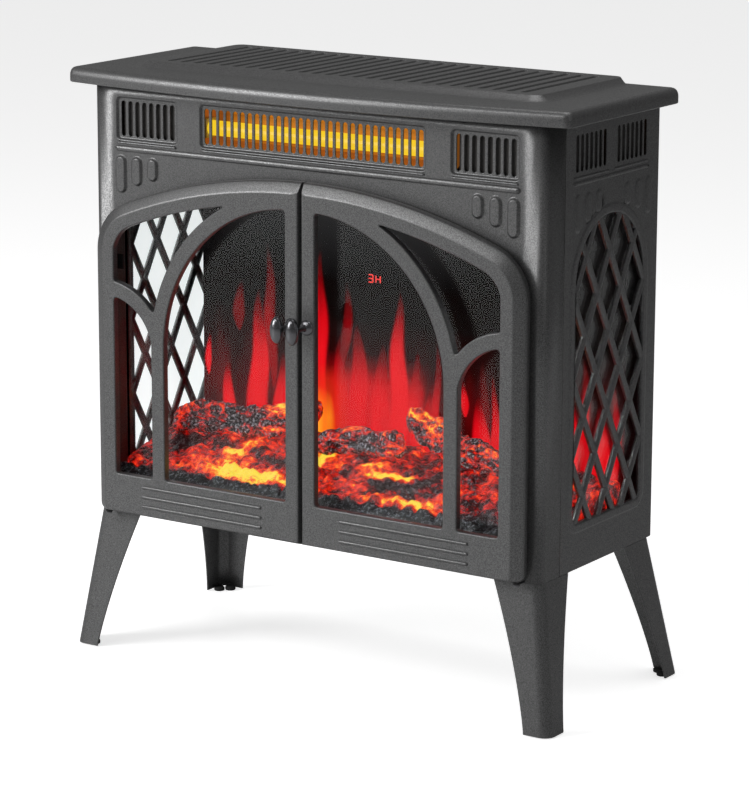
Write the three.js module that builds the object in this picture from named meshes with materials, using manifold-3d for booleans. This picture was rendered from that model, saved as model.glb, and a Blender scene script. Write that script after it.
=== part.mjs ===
// Free-standing electric fireplace: a steel stove casing on four splayed legs, with two arched
// doors in front of a glazed flame chamber, and a quartz heater with a blower under the mantel.
// Millimetres, +Z up, the doors face -Y, +X is to the right of someone facing the doors.
// The floor is z = 0, and x = y = 0 is the middle of the overall footprint.

import * as THREE from 'three';
import { mergeVertices } from 'three/addons/utils/BufferGeometryUtils.js';
import Module from 'manifold-3d';

const wasm = await Module();
wasm.setup();

// ---------------------------------------------------------------- driving dimensions

const fit = 0.3; // gap between pieces that touch
const sheet = 1; // casing sheet metal

const bodyWidth = 551;
const bodyDepth = 225;
const legHeight = 152.5;
const casingHeight = 457.2; // from the casing's bottom edge to its top edge

const cornerRadius = 10; // vertical front edges of the casing
const wrapDepth = 37; // how far the front panel runs round onto each side

const mantelOverhang = 29.5; // past each side of the casing
const mantelFrontOverhang = 7.5; // at the front corners
const mantelRearSetback = 8.5;
const mantelBow = 24; // how far the middle of the front edge stands out past its corners
const mantelRim = 16; // height of the rolled edge
const mantelSheet = 1.2;
const rearFlange = 20; // closes the casing's top behind the mantel
const mantelRound = 7; // radius of the rolled top edge
const mantelLedge = 8; // how far the mantel's underside reaches in over the casing
const plateRise = 6; // raised panel above the mantel
const plateInset = 65; // from the mantel's sides to the raised panel's top edge
const plateFront = 42.5; // from the casing's front to the raised panel's top edge
const plateSlope = 12; // run of the panel's sloped sides
const plateRearInset = 3;
const groovePitch = 16.6;
const grooveWidth = 7;
const grooveDepth = 2.2;
const grooveMargin = 11;

const slotPitch = 9;
const slotWidth = 5.6;
const slotHeight = 37;
const slotDrop = 15.7; // from the casing's top down to the slots
const ventSlots = 8;
const ventEdge = 69.5; // from the casing's side to the middle of a front vent
const heaterGap = 39; // least space from the heater's outermost slot to the first vent slot
const ribDrop = 68.5; // from the casing's top down to the long rib's lower edge
const ribHeight = 6.5;
const ribProud = 2.5;
const ribEdge = 29; // from the casing's side to the rib's end
const capsuleWidth = 13.5;
const capsulePitch = 20.5;
const capsuleDrop = 73;
const capsuleLengths = [39.5, 30.5, 24];
const capsuleEdge = 36; // from the casing's side to the first capsule's middle
const capsuleProud = 1.2;

const doorSideInset = 12.5; // from the casing's side to the door's outer edge
const doorRise = 2.5; // from the casing's bottom to the door's bottom
const doorCrown = 376.5; // door height at the middle
const doorArchRadius = 620;
const doorCornerRadius = 55;
const doorFootRadius = 8;
const doorHalfGap = 1.2;
const doorDepth = 18;
const doorGap = 2; // between the doors and the front panel
const doorSkin = 8; // thickness of the frame's face
const doorRimWall = 3;
const doorBevel = 11; // run of the sloped outer edge across the face
const doorBevelDepth = 6.5;
const doorBackChamfer = 4; // clears the casing as the door swings
const doorStile = 26; // outer upright
const doorMeetingStile = 16.8;
const doorBottomRail = 44;
const doorTopRail = 25; // at the arch, measured square to it
const doorWindowCorner = 35;
const barWidth = 16.5; // mullion, arch bar and branch bar
const outerLightWidth = 48; // clear width of each door's narrow outer light
const archOffset = 10; // from the meeting line to the centre of the arch bar
const archTopRail = 28.5;
const branchRadius = 59;
const branchDrop = 9; // branch centre below the springing line
const doorRibLength = 155;
const doorRibHeight = 3.6;
const doorRibPitch = 10.4;
const doorRibProud = 1;
const openingInset = 17; // from the door's outline to the fire opening behind it

const hingeInset = 9; // hinge axis in from the door's outer edge
const hingeDepth = 9; // hinge axis behind the door's face
const hingeUpperHeight = 275; // above the door's bottom
const pinRadius = 2;
const pinClearance = 0.3;
const pinLength = 15;
const earHalfWidth = 3.5;
const earThickness = 2;
const earSwing = 1.6; // room in the door for the ear at full swing

const knobHeight = 230; // above the door's bottom
const knobReach = 33;
const knobHeadWidth = 15;
const knobHeadHeight = 28;
const knobHeadDepth = 13;

const legFootWidth = 30;
const legTopWidth = 55;
const legTaper = 1.55; // exponent of the curved inner edges
const legSheet = 2;
const legCorner = 12;
const legSideSplay = 22.5;
const legFrontSplay = 18;
const legRearSplay = 28.5;
const footHeight = 6;
const footGrip = 1; // how far the pad stands below the leg

const latticeWide = 47;
const latticeTall = 82;
const latticeBar = 7.4;
const latticeDepth = 4;
const latticeCrossing = 237; // height of one crossing on the window's middle line, above the casing's bottom
const sideWindowMargin = 25.25; // from the window to the side panel's front and rear edges, at the middle
const sideWindowBottom = 47.5; // above the casing's bottom
const sideWindowTop = 355.5;
const sideFrameWidth = 9;
const sideFeatureShift = -3; // window and vents forward of the side panel's middle
const sideVentTrim = 12; // how much closer a side's two vents stand than half its depth
const sideVentGap = 19; // least space between a side's two vents
const sideRibEdge = 18; // from the side panel's edges to its long rib

const frontGlassThickness = 3.5;
const sideGlassThickness = 3;
const screenThickness = 3;
const screenSetback = 46.5; // from the casing's rear to the screen's front face
const shelfHeight = 384; // above the casing's bottom
const trayFlange = 12;

const bedFront = 12; // from the casing's front to the ember bed
const bedCrust = 12; // thickness of the moulded bed
const bedWall = 6; // clear of the bed's edges to the hollow underneath
const bedFrontHeight = 38; // above the casing's bottom
const bedRearHeight = 70;

const spindleRadius = 13;
const spindleShaft = 3;
const spindleHeight = 62; // above the casing's bottom

const tubeRadius = 8;
const tubeEnd = 11; // past the outermost heater slot
const tubeSetback = 26; // behind the front panel
const reflectorWall = 1;
const reflectorDepth = 34;
const blowerRadius = 23;
const blowerHalfLength = 85;

const controlWidth = 92;
const controlTall = 34;

// ---------------------------------------------------------------- derived places

const bodyHalf = bodyWidth / 2;
const frontReach = doorGap + doorDepth + knobReach; // past the front panel
const bodyMiddle = (frontReach - legRearSplay) / 2;
const yFront = bodyMiddle - bodyDepth / 2;
const yRear = bodyMiddle + bodyDepth / 2;
const zBottom = legHeight;
const zTop = zBottom + casingHeight;
const mantelHalf = bodyHalf + mantelOverhang;
const zMantel = zTop + fit + mantelRim;
const yDoorBack = yFront - doorGap;
const yDoorFace = yDoorBack - doorDepth;
const zDoor = zBottom + doorRise;
const doorSide = bodyHalf - doorSideInset;
const zSlotTop = zTop - slotDrop;
const zSlotMiddle = zSlotTop - slotHeight / 2;
const zShelf = zBottom + shelfHeight;
const yScreen = yRear - screenSetback;
const sideDepth = bodyDepth - wrapDepth;
const sideWindowWidth = sideDepth - 2 * sideWindowMargin;
const sideVentSpread = sideDepth / 2 - sideVentTrim;
const sideVentSlots = Math.floor((sideVentSpread - sideVentGap) / slotPitch);
const innerHalf = bodyHalf - sheet - fit;
const glassHalf = bodyHalf - latticeDepth - fit - sideGlassThickness;
const ventMiddle = bodyHalf - ventEdge;
const ventHalfSpan = ((ventSlots - 1) * slotPitch) / 2;
const heaterSlots = 2 * Math.floor((ventMiddle - ventHalfSpan - heaterGap) / slotPitch);
const heaterHalfSpan = ((heaterSlots - 1) * slotPitch) / 2;
const ySeam = yFront + wrapDepth;
const sideMiddle = (ySeam + yRear) / 2 + sideFeatureShift;
const tubeHalf = heaterHalfSpan + tubeEnd;
const zTube = zSlotMiddle - 4.5;
const yTube = yFront + tubeSetback;
const hingeX = doorSide - hingeInset;
const hingeY = yDoorFace + hingeDepth;

// ---------------------------------------------------------------- solids and shapes

const part = new THREE.Group();
part.name = 'electric_fireplace';

/** Turns a closed geometry into a solid that can be joined and cut. */
function solidOf(geometry) {
  const plain = geometry.clone();
  for (const name of ['normal', 'uv']) {
    plain.deleteAttribute(name);
  }
  const merged = mergeVertices(plain, 1e-4);
  return new wasm.Manifold(new wasm.Mesh({
    numProp: 3,
    vertProperties: new Float32Array(merged.attributes.position.array),
    triVerts: new Uint32Array(merged.index.array),
  }));
}

/** Gives a solid's surface back as a geometry. */
function geometryOf(solid) {
  const mesh = solid.getMesh();
  const geometry = new THREE.BufferGeometry();
  geometry.setAttribute('position', new THREE.BufferAttribute(new Float32Array(mesh.vertProperties), 3));
  geometry.setIndex(new THREE.BufferAttribute(new Uint32Array(mesh.triVerts), 1));
  return geometry;
}

const join = (solids) => solids.reduce((whole, piece) => whole.add(piece));
const cut = (solid, tools) => tools.reduce((whole, tool) => whole.subtract(tool), solid);

/** A box between two corners. */
function box(x0, x1, y0, y1, z0, z1) {
  const geometry = new THREE.BoxGeometry(Math.abs(x1 - x0), Math.abs(y1 - y0), Math.abs(z1 - z0));
  geometry.translate((x0 + x1) / 2, (y0 + y1) / 2, (z0 + z1) / 2);
  return solidOf(geometry);
}

/** Places for the outline's u and v and the sweep's w: plan sweeps up, front sweeps back, side sweeps right. */
const planes = {
  plan: (u, v, w) => new THREE.Vector3(u, v, w),
  front: (u, v, w) => new THREE.Vector3(u, w, v),
  side: (u, v, w) => new THREE.Vector3(w, u, v),
};

/** Joins outlines of equal length, each at its own place along the sweep, into one closed solid. */
function loft(rings, place) {
  const backwards = THREE.ShapeUtils.isClockWise(rings[0].outline);
  const sections = rings.map(({ outline, at }) => ({ outline: backwards ? outline.toReversed() : outline, at }));
  const count = sections[0].outline.length;
  const positions = [];
  for (const { outline, at } of sections) {
    for (const point of outline) {
      positions.push(...place(point.x, point.y, at).toArray());
    }
  }
  const index = [];
  for (let s = 0; s + 1 < sections.length; s += 1) {
    for (let i = 0; i < count; i += 1) {
      const next = (i + 1) % count;
      const [a, b] = [s * count + i, s * count + next];
      index.push(a, b, b + count, a, b + count, a + count);
    }
  }
  const last = (sections.length - 1) * count;
  for (const [a, b, c] of THREE.ShapeUtils.triangulateShape(sections[0].outline, [])) {
    index.push(a, c, b);
  }
  for (const [a, b, c] of THREE.ShapeUtils.triangulateShape(sections.at(-1).outline, [])) {
    index.push(last + a, last + b, last + c);
  }
  const geometry = new THREE.BufferGeometry();
  geometry.setAttribute('position', new THREE.Float32BufferAttribute(positions, 3));
  geometry.setIndex(index);
  return solidOf(outward(geometry));
}

/** Turns every face round when the surface encloses a negative volume. */
function outward(geometry) {
  const points = geometry.attributes.position;
  const index = geometry.index.array;
  const [a, b, c] = [new THREE.Vector3(), new THREE.Vector3(), new THREE.Vector3()];
  let volume = 0;
  for (let i = 0; i < index.length; i += 3) {
    a.fromBufferAttribute(points, index[i]);
    b.fromBufferAttribute(points, index[i + 1]);
    c.fromBufferAttribute(points, index[i + 2]);
    volume += a.dot(b.cross(c));
  }
  if (volume < 0) {
    index.reverse();
  }
  return geometry;
}

/** A straight prism of one outline. */
function prism(outline, plane, from, to) {
  return loft([{ outline, at: from }, { outline, at: to }], planes[plane]);
}

/** Points of an arc, both ends included, angles in degrees. */
function arc(cx, cy, radius, from, to, steps) {
  return Array.from({ length: steps + 1 }, (_, i) => {
    const angle = THREE.MathUtils.degToRad(from + ((to - from) * i) / steps);
    return new THREE.Vector2(cx + radius * Math.cos(angle), cy + radius * Math.sin(angle));
  });
}

/** A rectangle with rounded corners. */
function roundedRect(u0, u1, v0, v1, radius, steps = 3) {
  return [
    ...arc(u0 + radius, v0 + radius, radius, 180, 270, steps),
    ...arc(u1 - radius, v0 + radius, radius, 270, 360, steps),
    ...arc(u1 - radius, v1 - radius, radius, 0, 90, steps),
    ...arc(u0 + radius, v1 - radius, radius, 90, 180, steps),
  ];
}

/** An upright slot with round ends. */
function slotOutline(u, v0, v1, width, steps = 2) {
  const radius = width / 2;
  return [...arc(u, v0 + radius, radius, 180, 360, steps), ...arc(u, v1 - radius, radius, 0, 180, steps)];
}

/** A cylinder along x, y or z. */
function rod(axis, radius, from, to, centre, sides = 16) {
  const plane = { x: 'side', y: 'front', z: 'plan' }[axis];
  return prism(arc(centre[0], centre[1], radius, 0, 360 - 360 / sides, sides - 1), plane, from, to);
}

/** Mirrors a right-hand solid for the left-hand side, or leaves it. */
const sided = (solid, side) => (side > 0 ? solid : solid.mirror([1, 0, 0]));

const handed = (side) => (side > 0 ? 'right' : 'left');

// ---------------------------------------------------------------- finishes

const finishes = {
  powder_coat: { color: 0x47484b, roughness: 0.5, metalness: 0.55 },
  dark_steel: { color: 0x2b2b2d, roughness: 0.6, metalness: 0.6 },
  bare_steel: { color: 0x9a9b9d, roughness: 0.35, metalness: 0.9 },
  knob_metal: { color: 0x5a5b5e, roughness: 0.25, metalness: 0.85 },
  glass: { color: 0x1c1c1e, roughness: 0.05, metalness: 0 },
  screen: { color: 0x8c0a0a, roughness: 0.3, metalness: 0.1 },
  embers: { color: 0xd23410, roughness: 0.8, metalness: 0 },
  charred: { color: 0x2d2f33, roughness: 0.9, metalness: 0 },
  reflector: { color: 0xc87420, roughness: 0.25, metalness: 0.9 },
  quartz: { color: 0xf6c22c, roughness: 0.2, metalness: 0 },
  ceramic: { color: 0xe6ddcc, roughness: 0.7, metalness: 0 },
  plastic: { color: 0x18181a, roughness: 0.55, metalness: 0 },
  rubber: { color: 0x141414, roughness: 0.85, metalness: 0 },
  circuit: { color: 0x1f5a33, roughness: 0.6, metalness: 0 },
  digits: { color: 0xc01414, roughness: 0.4, metalness: 0 },
};

/** Adds one named piece to the model. */
function add(name, solid, finish) {
  const mesh = new THREE.Mesh(geometryOf(solid), new THREE.MeshStandardMaterial(finishes[finish]));
  mesh.name = name;
  part.add(mesh);
}

// ---------------------------------------------------------------- mantel

/** Plan of the mantel: straight sides and rear, a bowed front, rounded corners. */
function mantelOutline(inset) {
  const half = mantelHalf - inset;
  const rear = yRear - mantelRearSetback - inset;
  const front = yFront - mantelFrontOverhang + inset;
  const radius = cornerRadius;
  const chord = half - radius;
  const bowRadius = (chord * chord + mantelBow * mantelBow) / (2 * mantelBow);
  const bowAngle = THREE.MathUtils.radToDeg(Math.asin(chord / bowRadius));
  const bow = arc(0, front - mantelBow + bowRadius, bowRadius, 270 - bowAngle, 270 + bowAngle, 16);
  return [
    ...arc(-chord, front + radius, radius, 180, 255, 3),
    ...bow.slice(1, -1),
    ...arc(chord, front + radius, radius, 285, 360, 3),
    ...arc(chord, rear - radius, radius, 0, 90, 3),
    ...arc(-chord, rear - radius, radius, 90, 180, 3),
  ];
}

/** The pressed top: rolled edge, open hollow underneath, and the raised grooved panel. */
function mantelTop() {
  const zLip = zMantel - mantelRim;
  const rolled = [0, 30, 60, 90].map((angle) => {
    const turn = THREE.MathUtils.degToRad(angle);
    return {
      outline: mantelOutline(mantelRound * (1 - Math.cos(turn))),
      at: zMantel - mantelRound * (1 - Math.sin(turn)),
    };
  });
  const slab = loft([{ outline: mantelOutline(0), at: zLip }, ...rolled], planes.plan);
  const lipHole = box(
    -bodyHalf + mantelLedge, bodyHalf - mantelLedge, yFront + mantelLedge,
    yRear - mantelRearSetback - mantelSheet - mantelLedge, zLip - 1, zLip + mantelSheet + 1,
  );
  const hollow = loft([
    { outline: mantelOutline(mantelSheet), at: zLip + mantelSheet - 0.01 },
    { outline: mantelOutline(mantelSheet), at: zMantel - mantelRound },
    { outline: mantelOutline(mantelSheet + mantelRound / 2), at: zMantel - mantelSheet },
  ], planes.plan);
  const half = mantelHalf - plateInset;
  const rear = yRear - mantelRearSetback - plateRearInset;
  const front = yFront + plateFront;
  const spread = (run) => roundedRect(-half - run, half + run, front - run, rear, 10 + run, 4);
  const plate = loft([
    { outline: spread(plateSlope), at: zMantel - 0.5 },
    { outline: spread(plateSlope * 0.45), at: zMantel + plateRise * 0.45 },
    { outline: spread(1.5), at: zMantel + plateRise * 0.92 },
    { outline: spread(0), at: zMantel + plateRise },
  ], planes.plan);
  const grooves = [];
  const reach = Math.floor((half - grooveMargin) / groovePitch);
  for (let i = -reach; i <= reach; i += 1) {
    const x = i * groovePitch;
    grooves.push(box(
      x - grooveWidth / 2, x + grooveWidth / 2, front + grooveMargin, rear - grooveMargin,
      zMantel + plateRise - grooveDepth, zMantel + plateRise + 1,
    ));
  }
  return cut(slab.add(plate), [lipHole, hollow, ...grooves]);
}

add('mantel_top', mantelTop(), 'powder_coat');

// ---------------------------------------------------------------- casing

/** Cuts a row of upright slots; `plane` is front or side. */
function slotRow(count, middle, plane, from, to) {
  return Array.from({ length: count }, (_, i) => {
    const u = middle + (i - (count - 1) / 2) * slotPitch;
    return prism(slotOutline(u, zSlotTop - slotHeight, zSlotTop, slotWidth), plane, from, to);
  });
}

/** Outline of a door or of what lies inside it: an arch, a rounded shoulder, an upright and a foot. */
function doorOutline(sideInset, bottomInset, meetingInset, radius, meeting = doorHalfGap) {
  const side = doorSide - sideInset;
  const bottom = zDoor + bottomInset;
  const archCentre = zDoor + doorCrown - doorArchRadius;
  const archRadius = doorArchRadius - sideInset;
  const shoulderX = side - radius;
  const shoulderZ = archCentre + Math.sqrt((archRadius - radius) ** 2 - shoulderX ** 2);
  const shoulderAngle = THREE.MathUtils.radToDeg(Math.atan2(shoulderZ - archCentre, shoulderX));
  const start = meeting + meetingInset;
  const crownAngle = THREE.MathUtils.radToDeg(Math.acos(start / archRadius));
  const foot = Math.max(doorFootRadius - bottomInset, 2);
  return [
    new THREE.Vector2(start, bottom),
    ...arc(side - foot, bottom + foot, foot, 270, 360, 3),
    ...arc(shoulderX, shoulderZ, radius, 0, shoulderAngle, 7),
    ...arc(0, archCentre, archRadius, shoulderAngle, crownAngle, 9).slice(1),
  ];
}

/** The whole fire opening in the front panel: both halves of the doors' outline, set in. */
function fireOpening() {
  const right = doorOutline(openingInset, openingInset + 13, 0, doorCornerRadius - openingInset, 0);
  const left = right.slice(1, -1).reverse().map((point) => new THREE.Vector2(-point.x, point.y));
  return [...right, ...left];
}

/** Plan of the front panel: a flat face with a rounded corner and a return at each end. */
function frontPanelPlan() {
  const outer = [
    new THREE.Vector2(-bodyHalf, ySeam),
    ...arc(-bodyHalf + cornerRadius, yFront + cornerRadius, cornerRadius, 180, 270, 5),
    ...arc(bodyHalf - cornerRadius, yFront + cornerRadius, cornerRadius, 270, 360, 5),
    new THREE.Vector2(bodyHalf, ySeam),
  ];
  const bend = cornerRadius - sheet;
  const inner = [
    new THREE.Vector2(bodyHalf - sheet, ySeam),
    ...arc(bodyHalf - cornerRadius, yFront + cornerRadius, bend, 360, 270, 5),
    ...arc(-bodyHalf + cornerRadius, yFront + cornerRadius, bend, 270, 180, 5),
    new THREE.Vector2(-bodyHalf + sheet, ySeam),
  ];
  return [...outer, ...inner];
}

function frontPanel() {
  const through = [yFront - 5, yFront + sheet + 1];
  const shell = prism(frontPanelPlan(), 'plan', zBottom, zTop);
  const ribTop = zTop - ribDrop + ribHeight;
  const ribEnd = bodyHalf - ribEdge;
  const rib = prism(
    roundedRect(-ribEnd, ribEnd, zTop - ribDrop, ribTop, ribHeight / 2 - 0.1, 2),
    'front', yFront - ribProud, yFront + sheet / 2,
  );
  const capsules = [-1, 1].flatMap((side) => capsuleLengths.map((length, i) => prism(
    slotOutline(side * (bodyHalf - capsuleEdge - i * capsulePitch), zTop - capsuleDrop - length, zTop - capsuleDrop,
      capsuleWidth),
    'front', yFront - capsuleProud, yFront + sheet / 2,
  )));
  return cut(join([shell, rib, ...capsules]), [
    prism(fireOpening(), 'front', ...through),
    ...slotRow(heaterSlots, 0, 'front', ...through),
    ...slotRow(ventSlots, -ventMiddle, 'front', ...through),
    ...slotRow(ventSlots, ventMiddle, 'front', ...through),
  ]);
}

add('front_panel', frontPanel(), 'powder_coat');

const sideWindow = {
  half: sideWindowWidth / 2,
  bottom: zBottom + sideWindowBottom,
  spring: zBottom + sideWindowTop - sideWindowWidth / 2,
};

/** Outline of the arched side window, grown by `grow`. */
function sideWindowOutline(grow) {
  const half = sideWindow.half + grow;
  const bottom = sideWindow.bottom - grow;
  return [
    ...arc(sideMiddle - half + 8, bottom + 8, 8, 180, 270, 2),
    ...arc(sideMiddle + half - 8, bottom + 8, 8, 270, 360, 2),
    ...arc(sideMiddle, sideWindow.spring, half, 0, 180, 16),
  ];
}

/** Crossing slanted bars that fill the side window. */
function lattice(from, to) {
  const slope = Math.atan2(latticeTall, latticeWide);
  const halfTall = casingHeight / 2;
  const middle = zBottom + latticeCrossing;
  const reach = Math.ceil((sideWindowWidth / 2 + (halfTall * latticeWide) / latticeTall) / latticeWide);
  const bars = [];
  for (let i = -reach; i <= reach; i += 1) {
    for (const lean of [-1, 1]) {
      const geometry = new THREE.BoxGeometry(to - from, latticeBar, casingHeight * 1.2);
      geometry.rotateX(lean * (Math.PI / 2 - slope));
      geometry.translate((from + to) / 2, sideMiddle + i * latticeWide, middle);
      bars.push(solidOf(geometry));
    }
  }
  return join(bars).intersect(prism(sideWindowOutline(0.5), 'side', from - 1, to + 1));
}

function sidePanel(side) {
  const [outer, inner, deep] = [bodyHalf, bodyHalf - sheet, bodyHalf - latticeDepth];
  const skin = box(inner, outer, ySeam + 2 * fit, yRear, zBottom, zTop);
  const frame = prism(sideWindowOutline(sideFrameWidth), 'side', deep, outer);
  const rib = prism(
    roundedRect(
      sideMiddle - sideDepth / 2 + sideRibEdge, sideMiddle + sideDepth / 2 - sideRibEdge,
      zTop - ribDrop, zTop - ribDrop + 4, 1.9, 2,
    ),
    'side', inner, outer + 1,
  );
  const vents = [-1, 1].flatMap((end) => slotRow(
    sideVentSlots, sideMiddle + (end * sideVentSpread) / 2, 'side', inner - 1, outer + 2,
  ));
  const window = prism(sideWindowOutline(0), 'side', deep - 1, outer + 1);
  return sided(cut(join([skin, frame, rib]), [window, ...vents]).add(lattice(deep, outer - 0.4)), side);
}

/** Vent baffle: plates hung behind the front vent and the two side vents from one bent strip. */
function plenumBaffle(side) {
  const yPlate = yFront + sheet + 5;
  const xPlate = bodyHalf - sheet - 6;
  const drop = zSlotTop - slotHeight - 3;
  const lift = zSlotTop + 3;
  const reach = ventHalfSpan + slotWidth / 4;
  const plates = [
    box(ventMiddle - reach, ventMiddle + reach, yPlate, yPlate + 1, drop, lift + 10),
    box(ventMiddle - reach, xPlate, yPlate, yPlate + 1, lift, lift + 10),
    box(xPlate - 1, xPlate, yPlate, yRear - 20, lift, lift + 10),
  ];
  for (const end of [-1, 1]) {
    const middle = sideMiddle + (end * sideVentSpread) / 2;
    const half = ((sideVentSlots - 1) * slotPitch) / 2;
    plates.push(box(xPlate - 1, xPlate, middle - half - 4, middle + half + 5, drop, lift + 10));
  }
  return sided(join(plates), side);
}

for (const side of [-1, 1]) {
  add(`${handed(side)}_side_panel`, sidePanel(side), 'powder_coat');
  add(`${handed(side)}_plenum_baffle`, plenumBaffle(side), 'powder_coat');
}

/** A shallow tray with an upturned flange on all sides. */
function tray(half, y0, y1, z, flange) {
  const whole = box(-half, half, y0, y1, z, z + flange);
  return whole.subtract(box(-half + sheet, half - sheet, y0 + sheet, y1 - sheet, z + sheet, z + flange + 1));
}

const yInnerFront = yFront + sheet + fit;
const yInnerRear = yRear - sheet - fit;
const bendRelief = bodyHalf - cornerRadius;

/** Takes the casing's rounded front corners off a tray. */
function cornerReliefs(z0, z1) {
  return [-1, 1].map((side) => sided(box(bendRelief, bodyHalf, yFront, yFront + cornerRadius, z0, z1), side));
}

add('base_pan', cut(
  tray(innerHalf, yInnerFront, yInnerRear, zBottom, trayFlange), cornerReliefs(zBottom - 1, zBottom + 20),
), 'dark_steel');
add('divider_shelf', cut(
  tray(innerHalf, yInnerFront, yInnerRear, zShelf, trayFlange - 5), cornerReliefs(zShelf - 1, zShelf + 20),
), 'dark_steel');

const control = {
  x: -(bodyHalf - 105),
  z: zSlotMiddle,
  switchX: -(bodyHalf - 105) - 26,
  buttonX: [-(bodyHalf - 105) + 6, -(bodyHalf - 105) + 28],
};
const gland = { x: -(bodyHalf - 65), z: zBottom + 36, radius: 8 };

function rearPanel() {
  const through = [yRear - 5, yRear + 5];
  const skin = box(-innerHalf, innerHalf, yRear - sheet, yRear, zBottom, zTop);
  const flange = box(-innerHalf, innerHalf, yRear - rearFlange, yRear - 0.1, zTop - sheet, zTop);
  const hole = box(
    control.x - controlWidth / 2 + 6, control.x + controlWidth / 2 - 6, ...through,
    control.z - controlTall / 2 + 5, control.z + controlTall / 2 - 5,
  );
  return cut(skin.add(flange), [
    hole,
    rod('y', gland.radius + fit, ...through, [gland.x, gland.z]),
    ...slotRow(ventSlots, 0, 'front', ...through),
    ...slotRow(ventSlots, ventMiddle - 40, 'front', ...through),
  ]);
}

add('rear_panel', rearPanel(), 'powder_coat');

// ---------------------------------------------------------------- legs

/** Plan of a leg at one height: an L with a rounded outer corner. */
function legOutline(sideX, sideY, level) {
  const x = sideX * (bodyHalf + legSideSplay * (1 - level));
  const splay = sideY < 0 ? legFrontSplay : legRearSplay;
  const y = (sideY < 0 ? yFront : yRear) + sideY * splay * (1 - level);
  const width = legFootWidth + (legTopWidth - legFootWidth) * level ** legTaper;
  const local = [
    ...arc(legCorner, legCorner, legCorner, 180, 270, 4),
    new THREE.Vector2(width, 0),
    new THREE.Vector2(width, legSheet),
    ...arc(legCorner, legCorner, legCorner - legSheet, 270, 180, 4),
    new THREE.Vector2(legSheet, width),
    new THREE.Vector2(0, width),
  ];
  return local.map((point) => new THREE.Vector2(x - sideX * point.x, y - sideY * point.y));
}

function leg(sideX, sideY) {
  const top = legHeight - fit;
  const levels = [0, 0.12, 0.25, 0.4, 0.55, 0.7, 0.85, 1];
  const sections = levels.map((level) => ({
    outline: legOutline(sideX, sideY, level),
    at: footGrip + (top - footGrip) * level,
  }));
  const yEdge = sideY < 0 ? yFront : yRear;
  const flange = box(
    sideX * (bodyHalf - 1.5), sideX * (bodyHalf - legTopWidth), yEdge - sideY * 1.5, yEdge - sideY * legTopWidth,
    top - legSheet, top,
  ).subtract(box(
    sideX * (bodyHalf + 1), sideX * (bodyHalf - legCorner + 2), yEdge + sideY, yEdge - sideY * (legCorner - 2),
    top - legSheet - 1, top + 1,
  ));
  return loft(sections, planes.plan).add(flange);
}

/** Rubber pad nested in a leg's foot, standing just below it. */
function footPad(sideX, sideY) {
  const splay = sideY < 0 ? legFrontSplay : legRearSplay;
  const x = sideX * (bodyHalf + legSideSplay - legSheet - 1.5);
  const y = (sideY < 0 ? yFront : yRear) + sideY * (splay - legSheet - 1.5);
  const reach = legFootWidth + 5;
  const [u0, u1] = [Math.min(x, x - sideX * reach), Math.max(x, x - sideX * reach)];
  const [v0, v1] = [Math.min(y, y - sideY * reach), Math.max(y, y - sideY * reach)];
  return prism(roundedRect(u0, u1, v0, v1, legCorner - 2, 4), 'plan', 0, footHeight);
}

for (const [end, sideY] of [['front', -1], ['rear', 1]]) {
  for (const side of [-1, 1]) {
    add(`${end}_${handed(side)}_leg`, leg(side, sideY), 'powder_coat');
    add(`${end}_${handed(side)}_foot`, footPad(side, sideY), 'rubber');
  }
}

// ---------------------------------------------------------------- doors

const lights = {
  bottom: zDoor + doorBottomRail,
  outer: doorSide - doorStile,
  mullion: doorSide - doorStile - outerLightWidth,
};
lights.main = lights.mullion - barWidth;
lights.archRadius = lights.main - archOffset;
lights.spring = zDoor + doorCrown - archTopRail - lights.archRadius;

/** A curved bar: the ring between two radii, from one angle to another. */
function curvedBar(cx, cz, inner, from, to) {
  const ring = [...arc(cx, cz, inner + barWidth, from, to, 18), ...arc(cx, cz, inner, to, from, 18)];
  return prism(ring, 'front', yDoorFace - 1, yDoorBack + 1);
}

/** The glazed lights of the right door: the field inside its rails, less the bars that cross it. */
function doorLights() {
  const field = prism(
    doorOutline(doorTopRail, doorBottomRail, doorMeetingStile, doorWindowCorner),
    'front', yDoorFace - 1, yDoorBack + 1,
  );
  const outside = box(lights.outer, doorSide, yDoorFace - 2, yDoorBack + 2, zDoor, zTop);
  const mullion = box(lights.main, lights.mullion, yDoorFace - 1, yDoorBack + 1, zDoor, lights.spring);
  const archBar = curvedBar(archOffset, lights.spring, lights.archRadius, 0, 90);
  const branchX = lights.mullion + branchRadius - 1.5;
  const branchBar = curvedBar(branchX, lights.spring - branchDrop, branchRadius, 90, 180);
  const shade = box(
    lights.mullion, lights.outer + 20, yDoorFace - 2, yDoorBack + 2, lights.spring - branchDrop, zTop,
  );
  return cut(field, [outside, mullion, archBar, branchBar.intersect(shade)]);
}

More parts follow.
